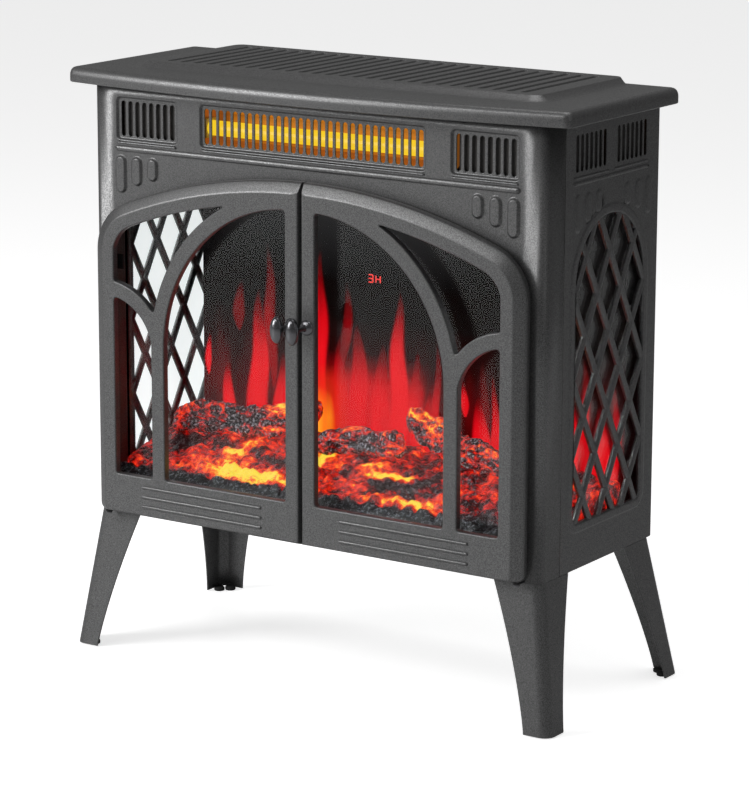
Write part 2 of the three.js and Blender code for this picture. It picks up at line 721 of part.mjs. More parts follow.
function door(side) {
  const section = (at, sideInset, bottomInset, meetingInset) => ({
    outline: doorOutline(sideInset, bottomInset, meetingInset, doorCornerRadius - sideInset), at,
  });
  const blank = loft([
    section(yDoorBack, doorBackChamfer, 0, 0),
    section(yDoorBack - doorBackChamfer, 0, 0, 0),
    section(yDoorFace + doorBevelDepth, 0, 0, 0),
    section(yDoorFace + doorBevelDepth * 0.3, doorBevel * 0.55, 1, 0.8),
    section(yDoorFace, doorBevel, 3, 2.8),
  ], planes.front);
  const pocket = prism(
    doorOutline(doorBackChamfer + doorRimWall, doorRimWall, doorRimWall, doorCornerRadius - 8),
    'front', yDoorFace + doorSkin, yDoorBack + 1,
  );
  const bossReach = [hingeX - 7, doorSide - doorRimWall, yDoorFace + doorSkin - 1, yDoorBack - 2];
  const zUpper = zDoor + hingeUpperHeight;
  const bosses = [
    box(...bossReach, zDoor + 1, zDoor + 14),
    box(...bossReach, zUpper + earThickness + 1, zUpper + earThickness + 14),
  ];
  const lowerHole = rod('z', pinRadius + pinClearance, zDoor - 1, zDoor + pinLength, [hingeX, hingeY]);
  const upperHole = rod('z', pinRadius + pinClearance, zUpper - 1, zUpper + pinLength + 1, [hingeX, hingeY]);
  const earNotch = box(
    hingeX - 6, doorSide + 2, hingeY - earHalfWidth - earSwing, yDoorBack + 1, zUpper - 2.2, zUpper + earThickness + 0.8,
  );
  const ribStart = (doorHalfGap + doorSide - doorRibLength) / 2 - 6;
  const ribs = [0, 1, 2].map((i) => prism(
    roundedRect(
      ribStart, ribStart + doorRibLength,
      lights.bottom - 12.5 - i * doorRibPitch, lights.bottom - 12.5 - i * doorRibPitch + doorRibHeight, 1.7, 2,
    ),
    'front', yDoorFace - doorRibProud, yDoorFace + 1,
  ));
  const frame = cut(blank, [pocket, doorLights()]);
  return sided(cut(join([frame, ...bosses, ...ribs]), [lowerHole, upperHole, earNotch]), side);
}

/** Hinge bracket: an ear round the pin, and a foot that lies flat on the front panel. */
function hingeBracket(side, zEar, footDown) {
  const yPanel = yFront - fit;
  const eye = rod('z', earHalfWidth, zEar, zEar + earThickness, [hingeX, hingeY]);
  const ear = box(hingeX - earHalfWidth, hingeX + earHalfWidth, hingeY, yPanel, zEar, zEar + earThickness);
  const root = box(hingeX - 16, hingeX + earHalfWidth, yPanel - 1.2, yPanel, zEar, zEar + earThickness);
  const foot = footDown
    ? box(hingeX - 16, hingeX - 5, yPanel - 1.2, yPanel, zEar - 14, zEar + earThickness)
    : box(hingeX - 16, hingeX - 5, yPanel - 1.2, yPanel, zEar, zEar + 14);
  const hole = rod('z', pinRadius + pinClearance, zEar - 1, zEar + earThickness + 1, [hingeX, hingeY]);
  return sided(cut(join([eye, ear, root, foot]), [hole]), side);
}

/** A headed hinge pin. */
function hingePin(side, zEar) {
  const head = rod('z', pinRadius + 1.2, zEar - 1.6, zEar - fit, [hingeX, hingeY], 12);
  const shank = rod('z', pinRadius, zEar - 1, zEar + pinLength - 1, [hingeX, hingeY], 12);
  return sided(head.add(shank), side);
}

/** Door knob: a domed base, a thin stem and an upright oval head. */
function doorKnob(side) {
  const x = doorHalfGap + doorMeetingStile / 2 - 0.2;
  const z = zDoor + knobHeight;
  const profile = [
    [0, fit], [7.8, fit], [7.6, 1.6], [5.4, 3.4], [3.1, 4.4], [2.7, knobReach - 12], [4, knobReach - 8], [0, knobReach - 7],
  ].map(([radius, height]) => new THREE.Vector2(radius, height));
  const stem = new THREE.LatheGeometry(profile, 14);
  stem.rotateX(Math.PI);
  stem.translate(x, yDoorFace, z);
  const head = new THREE.SphereGeometry(1, 14, 8);
  head.rotateX(Math.PI / 2);
  head.scale(knobHeadWidth / 2, knobHeadDepth / 2, knobHeadHeight / 2);
  head.translate(x, yDoorFace - knobReach + knobHeadDepth / 2, z);
  return sided(solidOf(outward(mergeVertices(stripped(stem)))).add(solidOf(head)), side);
}

/** A copy of a geometry that holds only its points. */
function stripped(geometry) {
  const plain = geometry.clone();
  plain.deleteAttribute('normal');
  plain.deleteAttribute('uv');
  return plain;
}

for (const side of [-1, 1]) {
  const hand = handed(side);
  const zUpper = zDoor + hingeUpperHeight;
  const zLower = zDoor - fit - earThickness;
  add(`${hand}_door`, door(side), 'powder_coat');
  add(`${hand}_door_knob`, doorKnob(side), 'knob_metal');
  add(`${hand}_upper_hinge`, hingeBracket(side, zUpper, true), 'dark_steel');
  add(`${hand}_lower_hinge`, hingeBracket(side, zLower, false), 'dark_steel');
  add(`${hand}_upper_hinge_pin`, hingePin(side, zUpper), 'bare_steel');
  add(`${hand}_lower_hinge_pin`, hingePin(side, zLower), 'bare_steel');
  const zCatch = zDoor + doorCrown - openingInset + 2;
  const strikeBack = yDoorFace + doorSkin + fit;
  add(`${hand}_strike`, sided(box(8, 20, strikeBack, strikeBack + 1.5, zCatch, zCatch + 7), side), 'bare_steel');
  add(`${hand}_magnet`, sided(
    box(8, 20, strikeBack + 1.5 + fit, yFront - fit, zCatch, zCatch + 7), side,
  ), 'dark_steel');
}

// ---------------------------------------------------------------- fire chamber

const glassBottom = zBottom + trayFlange + 6;
const glassTop = zShelf - 6;
const frontGlassHalf = glassHalf - 12;
add('front_glass', box(
  -frontGlassHalf, frontGlassHalf, yFront + sheet + 0.5, yFront + sheet + 0.5 + frontGlassThickness, glassBottom,
  glassTop,
), 'glass');
for (const side of [-1, 1]) {
  const margin = sideFrameWidth + 4;
  add(`${handed(side)}_side_glass`, sided(box(
    glassHalf, glassHalf + sideGlassThickness, sideMiddle - sideWindow.half - margin,
    sideMiddle + sideWindow.half + margin, sideWindow.bottom - margin, zBottom + sideWindowTop + margin,
  ), side), 'glass');
}

const screenHalf = glassHalf - 3;
add('flame_screen', box(
  -screenHalf, screenHalf, yScreen, yScreen + screenThickness, zBottom + sheet + fit, zShelf - fit,
), 'screen');

/** A charred log: uneven rings along a line. */
function fibreLog(from, to, radius, seed, grow = 0) {
  const sections = Array.from({ length: 8 }, (_, s) => {
    const t = s / 7;
    const end = 1 - 0.35 * (2 * t - 1) ** 6;
    const outline = Array.from({ length: 9 }, (_, i) => {
      const angle = (i / 9) * Math.PI * 2;
      const knot = 1 + 0.1 * Math.sin(3 * angle + seed + 4 * t) + 0.07 * Math.sin(9 * t + seed * 2 + angle);
      const reach = radius * end * knot + grow;
      return new THREE.Vector2(
        THREE.MathUtils.lerp(from[1], to[1], t) + reach * Math.cos(angle),
        THREE.MathUtils.lerp(from[2], to[2], t) + reach * 0.85 * Math.sin(angle),
      );
    });
    const stretch = grow * (2 * t - 1);
    return { outline, at: THREE.MathUtils.lerp(from[0], to[0], t) + stretch };
  });
  return loft(sections, planes.side);
}

const bedHalf = screenHalf - 2;
const bedDepth = yScreen - fit * 3 - (yFront + bedFront);
const yBed = (share) => yFront + bedFront + bedDepth * share;
const zBed = (height) => zBottom + height;
const logs = {
  log_left: [[-bedHalf * 0.94, yBed(0.52), zBed(80)], [-bedHalf * 0.28, yBed(0.68), zBed(103)], 19, 1.3],
  log_middle: [[-bedHalf * 0.24, yBed(0.57), zBed(82)], [bedHalf * 0.21, yBed(0.5), zBed(92)], 16, 2.6],
  log_right: [[bedHalf * 0.08, yBed(0.84), zBed(108)], [bedHalf * 0.76, yBed(0.52), zBed(76)], 17, 4.1],
};

/** The glowing bed: an uneven crust that rises to the rear over a hollow for the lamps. */
function emberBed() {
  const columns = 22;
  const rows = 9;
  const outline = (share, sink = 0, half = bedHalf) => {
    const top = Array.from({ length: columns + 1 }, (_, i) => {
      const u = i / columns;
      const heap = 1 - (2 * u - 1) ** 4 * 0.35;
      const rise = THREE.MathUtils.lerp(bedFrontHeight, bedRearHeight, Math.min(1, share * 1.3)) * heap;
      const lumps = share > 0 && share < 1 ? 3.5 * Math.sin(19 * u + 7 * share) * Math.cos(13 * u - 5 * share) : 0;
      return new THREE.Vector2(half * (2 * u - 1), zBed(Math.max(rise + lumps, bedFrontHeight - 6) - sink));
    });
    const floor = zBed(sink > 0 ? 0 : sheet + fit);
    return [new THREE.Vector2(-half, floor), new THREE.Vector2(half, floor), ...top.reverse()];
  };
  const sections = Array.from({ length: rows + 1 }, (_, s) => ({ outline: outline(s / rows), at: yBed(s / rows) }));
  const hollow = loft(Array.from({ length: rows + 1 }, (_, s) => ({
    outline: outline(s / rows, bedCrust, bedHalf - bedWall),
    at: THREE.MathUtils.lerp(yBed(0) + bedWall, yBed(1) - bedWall, s / rows),
  })), planes.front);
  const beds = Object.values(logs).map(([from, to, radius, seed]) => fibreLog(from, to, radius, seed, 0.6));
  return cut(loft(sections, planes.front), [hollow, ...beds]);
}

add('ember_bed', emberBed(), 'embers');
for (const [name, [from, to, radius, seed]] of Object.entries(logs)) {
  add(name, fibreLog(from, to, radius, seed), 'charred');
}

/** Board with a row of lamps, under the bed. */
function ledStrip() {
  const z = zBottom + sheet + fit;
  const y = yBed(0.55);
  const half = bedHalf - 30;
  const lamps = Array.from({ length: 9 }, (_, i) => {
    const x = (i - 4) * (half / 4.6);
    return box(x - 2.5, x + 2.5, y - 2.5, y + 2.5, z + 1, z + 3.4);
  });
  return join([box(-half, half, y - 8, y + 8, z, z + 1.6), ...lamps]);
}

add('led_strip', ledStrip(), 'circuit');

const ySpindle = (yScreen + screenThickness + yRear - sheet) / 2;
const zSpindle = zBottom + spindleHeight;
const spindleHalf = bodyHalf - 44;

/** Reflective spindle: thin vanes that twist along a shaft, and throw moving light on the screen. */
function flameSpindle() {
  const turns = 2;
  const steps = 24;
  const sections = Array.from({ length: steps + 1 }, (_, s) => {
    const t = s / steps;
    const outline = Array.from({ length: 8 }, (_, i) => {
      const reach = i % 2 === 0 ? spindleRadius : spindleShaft;
      const angle = (i / 8) * Math.PI * 2 + t * turns * Math.PI;
      return new THREE.Vector2(ySpindle + reach * Math.cos(angle), zSpindle + reach * Math.sin(angle));
    });
    return { outline, at: THREE.MathUtils.lerp(-spindleHalf + 6, spindleHalf - 6, t) };
  });
  const shaft = rod('x', spindleShaft - 0.5, -spindleHalf - 6, spindleHalf + 6, [ySpindle, zSpindle], 10);
  return loft(sections, planes.side).add(shaft);
}

add('flame_spindle', flameSpindle(), 'bare_steel');

/** An upright plate with a hole for the spindle's shaft, standing on the base pan. */
function spindleStand(x0, x1, half) {
  const stand = box(x0, x1, ySpindle - half, ySpindle + half, zBottom + sheet + fit, zSpindle + half);
  return stand.subtract(rod('x', spindleShaft - 0.5 + fit, x0 - 1, x1 + 1, [ySpindle, zSpindle], 12));
}

add('spindle_bearing', spindleStand(-spindleHalf - 3.5, -spindleHalf, 8), 'dark_steel');
add('flame_motor', join([
  spindleStand(spindleHalf, spindleHalf + 2, 12),
  rod('x', 15, spindleHalf + 2, spindleHalf + 18, [ySpindle, zSpindle], 20)
    .subtract(rod('x', spindleShaft - 0.5 + fit, spindleHalf, spindleHalf + 9, [ySpindle, zSpindle], 12)),
]), 'dark_steel');

const displayX = -39; // middle of the timer display
const displayHeight = 246; // of its middle above the casing's bottom

/** Timer display: a small case behind the screen with a raised window. */
function displayModule() {
  const y = yScreen + screenThickness + fit;
  const [x, z] = [displayX, zBottom + displayHeight];
  return join([
    box(x - 24, x + 24, y + 1.2, y + 9, z - 11, z + 11),
    box(x - 13, x + 13, y, y + 3, z - 7, z + 7),
  ]);
}

add('display_module', displayModule(), 'digits');

// ---------------------------------------------------------------- heater, blower and controls

/** Trough of bright sheet behind the heater tube, open to the grille. */
function heaterReflector() {
  const half = tubeHalf + 10;
  const back = yTube + reflectorDepth - 14;
  const rise = slotHeight / 2 + 4;
  const bowl = (grow, lip) => [
    new THREE.Vector2(yTube - lip, zSlotMiddle - rise - grow),
    ...arc(back - 14, zSlotMiddle - rise + 14, 14 + grow, 270, 360, 4),
    ...arc(back - 14, zSlotMiddle + rise - 14, 14 + grow, 0, 90, 4),
    new THREE.Vector2(yTube - lip, zSlotMiddle + rise + grow),
  ];
  const outside = prism(bowl(reflectorWall, 16), 'side', -half, half);
  return outside.subtract(prism(bowl(0, 17), 'side', -half + reflectorWall, half - reflectorWall));
}

add('heater_reflector', heaterReflector(), 'reflector');
add('quartz_tube', rod('x', tubeRadius, -tubeHalf + fit, tubeHalf - fit, [yTube, zTube], 16), 'quartz');
for (const side of [-1, 1]) {
  const socket = box(tubeHalf, tubeHalf + 8, yTube - 9, yTube + 9, zTube - 10, zTube + 10);
  add(`${handed(side)}_tube_holder`, sided(socket, side), 'ceramic');
}

const zReflectorTop = zSlotMiddle + slotHeight / 2 + 4 + reflectorWall;
add('thermal_cutout', join([
  rod('z', 8, zReflectorTop + fit, zReflectorTop + 6, [60, yTube - 2], 16),
  box(48, 72, yTube - 4, yTube, zReflectorTop + fit, zReflectorTop + 1.8),
]), 'ceramic');

const yBlower = yTube + reflectorDepth + blowerRadius + 12;
const zBlower = zShelf + sheet + blowerRadius + 13;

/** Cross-flow wheel: a ring of blades round a shaft. */
function blowerWheel() {
  const blades = 14;
  const outline = Array.from({ length: blades * 3 }, (_, i) => {
    const reach = [blowerRadius, blowerRadius - 0.5, blowerRadius - 7][i % 3];
    const angle = ((i + (i % 3 === 1 ? -0.4 : 0)) / (blades * 3)) * Math.PI * 2;
    return new THREE.Vector2(yBlower + reach * Math.cos(angle), zBlower + reach * Math.sin(angle));
  });
  const shaft = rod('x', 2.5, -blowerHalfLength - 2, blowerHalfLength + 12, [yBlower, zBlower], 10);
  return prism(outline, 'side', -blowerHalfLength + 4, blowerHalfLength - 4).add(shaft);
}

add('blower_wheel', blowerWheel(), 'plastic');

/** Scroll round the wheel, open towards the heater, with an end plate at each end. */
function blowerHousing() {
  const [inner, outer] = [blowerRadius + 4, blowerRadius + 5.2];
  const scroll = prism([
    ...arc(yBlower, zBlower, outer, -150, 75, 14), ...arc(yBlower, zBlower, inner, 75, -150, 14),
  ], 'side', -blowerHalfLength, blowerHalfLength);
  const ends = [-1, 1].map((side) => sided(
    rod('x', outer, blowerHalfLength - 1.5, blowerHalfLength, [yBlower, zBlower], 20), side,
  ));
  const foot = box(
    -blowerHalfLength, blowerHalfLength, yBlower + 4, yBlower + outer, zShelf + sheet + fit, zShelf + sheet + fit + 1.5,
  );
  const web = box(
    -blowerHalfLength, blowerHalfLength, yBlower + outer - 1.5, yBlower + outer, zShelf + sheet + fit, zBlower,
  );
  return join([scroll, ...ends, foot, web]).subtract(
    rod('x', 3, -blowerHalfLength - 2, blowerHalfLength + 2, [yBlower, zBlower], 12),
  );
}

add('blower_housing', blowerHousing(), 'dark_steel');
add('blower_motor', join([
  rod('x', 19, blowerHalfLength + 5, blowerHalfLength + 33, [yBlower, zBlower], 20),
  box(blowerHalfLength + 8, blowerHalfLength + 30, yBlower - 16, yBlower + 16, zShelf + sheet + fit, zBlower - 10),
]).subtract(rod('x', 3, blowerHalfLength, blowerHalfLength + 13, [yBlower, zBlower], 12)), 'dark_steel');

/** Circuit board on the shelf, with its tall parts. */
function controlBoard() {
  const z = zShelf + sheet + fit;
  const [x, y] = [-(bodyHalf - 105), yRear - 60];
  return join([
    box(x - 42, x + 42, y - 26, y + 26, z, z + 1.6),
    box(x - 34, x - 10, y - 18, y + 2, z + 1, z + 18),
    box(x + 2, x + 16, y - 18, y - 4, z + 1, z + 15),
    box(x + 20, x + 34, y - 18, y - 4, z + 1, z + 15),
    rod('z', 5, z + 1, z + 20, [x - 22, y + 14], 12),
    box(x, x + 34, y + 8, y + 18, z + 1, z + 9),
  ]);
}

add('control_board', controlBoard(), 'circuit');

const switchOpening = { halfX: 7, halfZ: 10.5 };
const buttonRadius = 5;

/** Plate on the rear that carries the power rocker and two push buttons. */
function controlPlate() {
  const outline = roundedRect(
    control.x - controlWidth / 2, control.x + controlWidth / 2, control.z - controlTall / 2,
    control.z + controlTall / 2, 4, 3,
  );
  const holes = control.buttonX.map((x) => rod('y', buttonRadius + fit, yRear - 5, yRear + 5, [x, control.z], 20));
  const opening = box(
    control.switchX - switchOpening.halfX, control.switchX + switchOpening.halfX, yRear - 5, yRear + 5,
    control.z - switchOpening.halfZ, control.z + switchOpening.halfZ,
  );
  return cut(prism(outline, 'front', yRear + fit, yRear + fit + 2.5), [opening, ...holes]);
}

add('control_plate', controlPlate(), 'plastic');

/** Power rocker: a shallow V that tilts about its middle. */
function rockerSwitch() {
  const [z, half] = [control.z, switchOpening.halfZ - 1.3];
  const profile = [
    [yRear - 3, z - 5], [yRear + 2.2, z - half], [yRear + 6, z - half], [yRear + 4.4, z], [yRear + 6, z + half],
    [yRear + 2.2, z + half], [yRear - 3, z + 5],
  ].map(([y, height]) => new THREE.Vector2(y, height));
  return prism(profile, 'side', control.switchX - switchOpening.halfX + 0.5, control.switchX + switchOpening.halfX - 0.5);
}

add('rocker_switch', rockerSwitch(), 'plastic');
['heat_button', 'flame_button'].forEach((name, i) => {
  add(name, rod('y', buttonRadius, yRear - 2, yRear + 5, [control.buttonX[i], control.z], 20), 'plastic');
});

/** Bush that the supply cord would pass through. */
function cordGland() {
  const profile = [
    [4.2, -8], [gland.radius, -8], [gland.radius, fit], [gland.radius + 4, fit], [gland.radius + 3.4, 4], [6.4, 10],
    [4.2, 10], [4.2, -8],
  ].map(([radius, height]) => new THREE.Vector2(radius, height));
  const geometry = stripped(new THREE.LatheGeometry(profile, 16));
  geometry.translate(gland.x, yRear, gland.z);
  return solidOf(outward(mergeVertices(geometry, 1e-4)));
}

add('cord_gland', cordGland(), 'rubber');

export default part;
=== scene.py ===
"""Looks of a free-standing electric fireplace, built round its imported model.

Sizes inside the classes are in millimetres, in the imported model's own frame: +Z up, doors facing -Y.
"""

import logging
import math
from collections.abc import Callable, Sequence
from dataclasses import dataclass, field
from enum import Enum
from itertools import product

import bmesh
import bpy
import numpy as np
from mathutils import Matrix, Vector
from mathutils.geometry import delaunay_2d_cdt


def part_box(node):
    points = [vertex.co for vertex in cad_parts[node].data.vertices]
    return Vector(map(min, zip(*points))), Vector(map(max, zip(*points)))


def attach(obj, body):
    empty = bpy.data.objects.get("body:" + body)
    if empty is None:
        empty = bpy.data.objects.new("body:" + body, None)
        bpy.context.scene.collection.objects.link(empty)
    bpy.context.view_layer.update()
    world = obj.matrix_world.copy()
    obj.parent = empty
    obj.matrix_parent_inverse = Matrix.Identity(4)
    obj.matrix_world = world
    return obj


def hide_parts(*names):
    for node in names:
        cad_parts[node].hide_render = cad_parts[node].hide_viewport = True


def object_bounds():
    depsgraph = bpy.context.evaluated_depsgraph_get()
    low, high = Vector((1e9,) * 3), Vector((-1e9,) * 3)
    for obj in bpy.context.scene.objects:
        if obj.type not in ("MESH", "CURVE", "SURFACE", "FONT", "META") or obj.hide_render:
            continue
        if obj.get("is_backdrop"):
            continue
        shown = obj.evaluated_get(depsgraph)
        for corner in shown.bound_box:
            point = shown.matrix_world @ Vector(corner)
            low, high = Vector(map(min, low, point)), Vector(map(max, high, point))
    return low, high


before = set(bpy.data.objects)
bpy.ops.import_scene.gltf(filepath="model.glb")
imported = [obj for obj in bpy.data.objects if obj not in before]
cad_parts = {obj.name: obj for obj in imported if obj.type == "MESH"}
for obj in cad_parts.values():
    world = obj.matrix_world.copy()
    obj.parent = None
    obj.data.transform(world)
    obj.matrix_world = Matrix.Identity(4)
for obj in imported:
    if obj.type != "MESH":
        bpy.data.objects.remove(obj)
CAD_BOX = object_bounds()

LOG = logging.getLogger("fireplace")
MM = 0.001
Array = np.ndarray
Place = Callable[[Array, float | Array], Array]


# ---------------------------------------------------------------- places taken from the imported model


def edge(node: str, axis: str, end: int) -> float:
    """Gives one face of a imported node's box.

    Args:
        node: The node's name.
        axis: x, y or z.
        end: -1 for the low face, 1 for the high face.

    Returns:
        The coordinate, in millimetres.
    """
    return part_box(node)[0 if end < 0 else 1]["xyz".index(axis)] / MM


@dataclass(frozen=True)
class Casing:
    """Main places of the stove's casing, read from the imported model."""

    half: float = edge("front_panel", "x", 1)
    bottom: float = edge("front_panel", "z", -1)
    top: float = edge("front_panel", "z", 1)
    rear: float = edge("rear_panel", "y", 1)
    seam: float = edge("front_panel", "y", 1)
    depth: float = 225.0
    door_gap: float = 2.0
    door_depth: float = 18.0

    @property
    def front(self) -> float:
        """Plane of the front panel."""
        return self.rear - self.depth

    @property
    def door_face(self) -> float:
        """Plane of the doors' faces."""
        return self.front - self.door_gap - self.door_depth

    @property
    def side_middle(self) -> float:
        """Middle of the side window, front to back."""
        return (self.seam + self.rear) / 2 - 3


CASE = Casing()


class Side(Enum):
    """The two hands of the stove, as the sign of x."""

    LEFT = -1
    RIGHT = 1

    @property
    def word(self) -> str:
        """The hand's name as used in piece names."""
        return self.name.lower()


# ---------------------------------------------------------------- outlines


def arc(cx: float, cy: float, radius: float, start: float, end: float, steps: int) -> Array:
    """Points of a circular arc: centre + radius times (cos, sin) of an angle that runs evenly.

    Args:
        cx: Centre, first coordinate.
        cy: Centre, second coordinate.
        radius: Radius.
        start: First angle in degrees.
        end: Last angle in degrees.
        steps: Number of spans.

    Returns:
        An array of steps + 1 points.
    """
    turn = np.radians(np.linspace(start, end, steps + 1))
    return np.stack([cx + radius * np.cos(turn), cy + radius * np.sin(turn)], -1)


def rounded_box(u0: float, u1: float, v0: float, v1: float, radius: float, steps: int = 5) -> Array:
    """A rectangle whose corners are quarter circles, counter-clockwise.

    Args:
        u0: Low edge, first coordinate.
        u1: High edge, first coordinate.
        v0: Low edge, second coordinate.
        v1: High edge, second coordinate.
        radius: Corner radius.
        steps: Spans in each corner.

    Returns:
        A closed outline.
    """
    return np.vstack([
        arc(u0 + radius, v0 + radius, radius, 180, 270, steps),
        arc(u1 - radius, v0 + radius, radius, 270, 360, steps),
        arc(u1 - radius, v1 - radius, radius, 0, 90, steps),
        arc(u0 + radius, v1 - radius, radius, 90, 180, steps),
    ])


def upright_slot(u: float, v0: float, v1: float, width: float, steps: int = 6) -> Array:
    """Two half circles joined by straight sides, counter-clockwise."""
    r = width / 2
    return np.vstack([arc(u, v0 + r, r, 180, 360, steps), arc(u, v1 - r, r, 0, 180, steps)])


def area(outline: Array) -> float:
    """Signed area of a closed outline, by the shoelace sum."""
    x, y = outline.T
    return float(np.sum(x * np.roll(y, -1) - np.roll(x, -1) * y) / 2)


def offset(outline: Array, distance: float) -> Array:
    """Moves each point of a counter-clockwise outline outwards along its mitred normal.

    The normal is the sum of the two neighbouring edges' normals, lengthened by one over the cosine
    of half the turn, so straight edges move by exactly the distance.

    Args:
        outline: Closed outline.
        distance: Distance outwards; negative moves inwards.

    Returns:
        The moved outline.
    """
    ahead = np.roll(outline, -1, 0) - outline
    ahead /= np.maximum(np.linalg.norm(ahead, axis=1, keepdims=True), 1e-9)
    behind = np.roll(ahead, 1, 0)
    normal = np.stack([ahead[:, 1] + behind[:, 1], -ahead[:, 0] - behind[:, 0]], -1)
    length = np.maximum(np.linalg.norm(normal, axis=1, keepdims=True), 0.6)
    return outline + normal / length**2 * 2 * distance


def without_doubles(outline: Array) -> Array:
    """Drops points that repeat the one before."""
    keep = np.linalg.norm(outline - np.roll(outline, 1, 0), axis=1) > 1e-4
    return outline[keep]


def softened(outline: Array, radius: float, steps: int = 5, limit: float = 20.0) -> Array:
    """Rounds every sharp corner of a closed outline.

    Each corner that turns more than the limit is cut back along the outline by radius times the
    tangent of half its turn, and a quadratic Bezier curve with the corner as its control closes it.

    Args:
        outline: Closed outline with its points close together near corners.
        radius: Fillet radius.
        steps: Spans in each fillet.
        limit: Smallest turn, in degrees, that counts as a corner.

    Returns:
        The rounded outline.
    """
    points = without_doubles(outline)
    ahead = np.roll(points, -1, 0) - points
    spans = np.linalg.norm(ahead, axis=1)
    heading = np.arctan2(ahead[:, 1], ahead[:, 0])
    turn = (heading - np.roll(heading, 1) + np.pi) % (2 * np.pi) - np.pi
    corners = np.flatnonzero(np.abs(turn) > math.radians(limit))
    if not len(corners):
        return points
    way = np.concatenate([[0.0], np.cumsum(spans)])
    total = way[-1]
    loop = np.vstack([points, points[:1]])

    def at(distance: Array) -> Array:
        """Points at a distance along the outline."""
        wrapped = np.mod(distance, total)
        return np.stack([np.interp(wrapped, way, loop[:, k]) for k in (0, 1)], -1)

    cuts = np.minimum(radius * np.tan(np.abs(turn[corners]) / 2), 2.2 * radius)
    t = np.linspace(0, 1, steps + 1)[:, None]
    pieces = []
    for n, corner in enumerate(corners):
        following = corners[(n + 1) % len(corners)]
        start, end = at(way[corner] - cuts[n])[None], at(way[corner] + cuts[n])[None]
        pieces.append((1 - t) ** 2 * start + 2 * t * (1 - t) * points[corner] + t**2 * end)
        low = way[corner] + cuts[n]
        high = way[following] - cuts[(n + 1) % len(corners)] + (total if following <= corner else 0)
        inner = np.concatenate([way[:-1], way[:-1] + total])
        inner = inner[(inner > low + 0.05) & (inner < high - 0.05)]
        pieces.append(at(inner) if len(inner) else np.empty((0, 2)))
    return without_doubles(np.vstack(pieces))


def eased(profile: Sequence[tuple[float, float]], radius: float, steps: int = 3) -> list[tuple[float, float]]:
    """Rounds the inner corners of an open edge profile with quadratic Bezier curves.

    Args:
        profile: Pairs of distance outwards and height.
        radius: Longest cut back from a corner.
        steps: Spans in each curve.

    Returns:
        The rounded profile.
    """
    points = np.array(profile, float)
    out = [tuple(points[0])]
    for before, here, after in zip(points[:-2], points[1:-1], points[2:]):
        a, b = before - here, after - here
        la, lb = np.linalg.norm(a), np.linalg.norm(b)
        cut = min(radius, 0.45 * la, 0.45 * lb)
        start, end = here + a / la * cut, here + b / lb * cut
        for t in np.linspace(0, 1, steps + 1):
            out.append(tuple((1 - t) ** 2 * start + 2 * t * (1 - t) * here + t**2 * end))
    out.append(tuple(points[-1]))
    return out


# ---------------------------------------------------------------- noise


def value_noise(points: Array, seed: int = 0) -> Array:
    """Smooth noise: a hash on each whole-number corner, blended by 3f^2 - 2f^3 along each axis.

    Args:
        points: Array whose last axis holds x, y and z, in cells.
        seed: Changes the pattern.

    Returns:
        Values from -1 to 1.
    """
    cell = np.floor(points).astype(np.int64)
    part = points - cell
    part = part * part * (3 - 2 * part)
    total = np.zeros(points.shape[:-1])
    for corner in product((0, 1), repeat=3):
        c = cell + np.array(corner)
        h = c[..., 0] * 374761393 + c[..., 1] * 668265263 + c[..., 2] * 1440662683 + seed * 974711
        h = (h ^ (h >> 13)) * 1274126177
        h = (h ^ (h >> 16)) & 0xFFFFFF
        weight = np.prod(np.where(np.array(corner) == 1, part, 1 - part), -1)
        total += weight * (h / 0x7FFFFF - 1)
    return total


def layered_noise(points: Array, octaves: int, seed: int = 0) -> Array:
    """Sum of noises, each at twice the frequency and half the height of the one before.

    Args:
        points: Array whose last axis holds x, y and z, in cells.
        octaves: Number of noises.
        seed: Changes the pattern.

    Returns:
        Values from about -2 to 2.
    """
    total = np.zeros(points.shape[:-1])
    for octave in range(octaves):
        total += value_noise(points * 2.0**octave, seed + octave) * 0.5**octave
    return total


def crack_distance(points: Array, seed: int = 0) -> Array:
    """Worley noise: distance to the second nearest scattered point less that to the nearest.

    Args:
        points: Array whose last axis holds x, y and z, in cells.
        seed: Changes the pattern.

    Returns:
        Zero along the cracks, larger inside the lumps.
    """
    cell = np.floor(points).astype(np.int64)
    nearest = np.full(points.shape[:-1], 9.0)
    second = nearest.copy()
    for step in product((-1, 0, 1), repeat=3):
        c = cell + np.array(step)
        spot = np.stack([
            value_noise(c.astype(float), seed + k) * 0.45 + 0.5 for k in (11, 23, 37)
        ], -1) + c
        distance = np.linalg.norm(points - spot, axis=-1)
        second = np.minimum(second, np.maximum(nearest, distance))
        nearest = np.minimum(nearest, distance)
    return second - nearest


# ---------------------------------------------------------------- meshes


def inside(points: Array, loops: Sequence[Array]) -> Array:
    """Even-odd test: counts how many loop edges a ray to +u crosses.

    Args:
        points: Flat points.
        loops: Closed outlines.

    Returns:
        Whether each point lies inside.
    """
    hits = np.zeros(len(points), int)
    for loop in loops:
        a, b = loop, np.roll(loop, -1, 0)
        for start in range(0, len(points), 4000):
            p = points[start:start + 4000, None]
            spans = (a[None, :, 1] > p[..., 1]) != (b[None, :, 1] > p[..., 1])
            rise = np.where(np.abs(b[:, 1] - a[:, 1]) < 1e-12, 1e-12, b[:, 1] - a[:, 1])
            cross = a[:, 0] + (p[..., 1] - a[:, 1]) / rise * (b[:, 0] - a[:, 0])
            hits[start:start + 4000] += (spans & (p[..., 0] < cross)).sum(1)
    return hits % 2 == 1


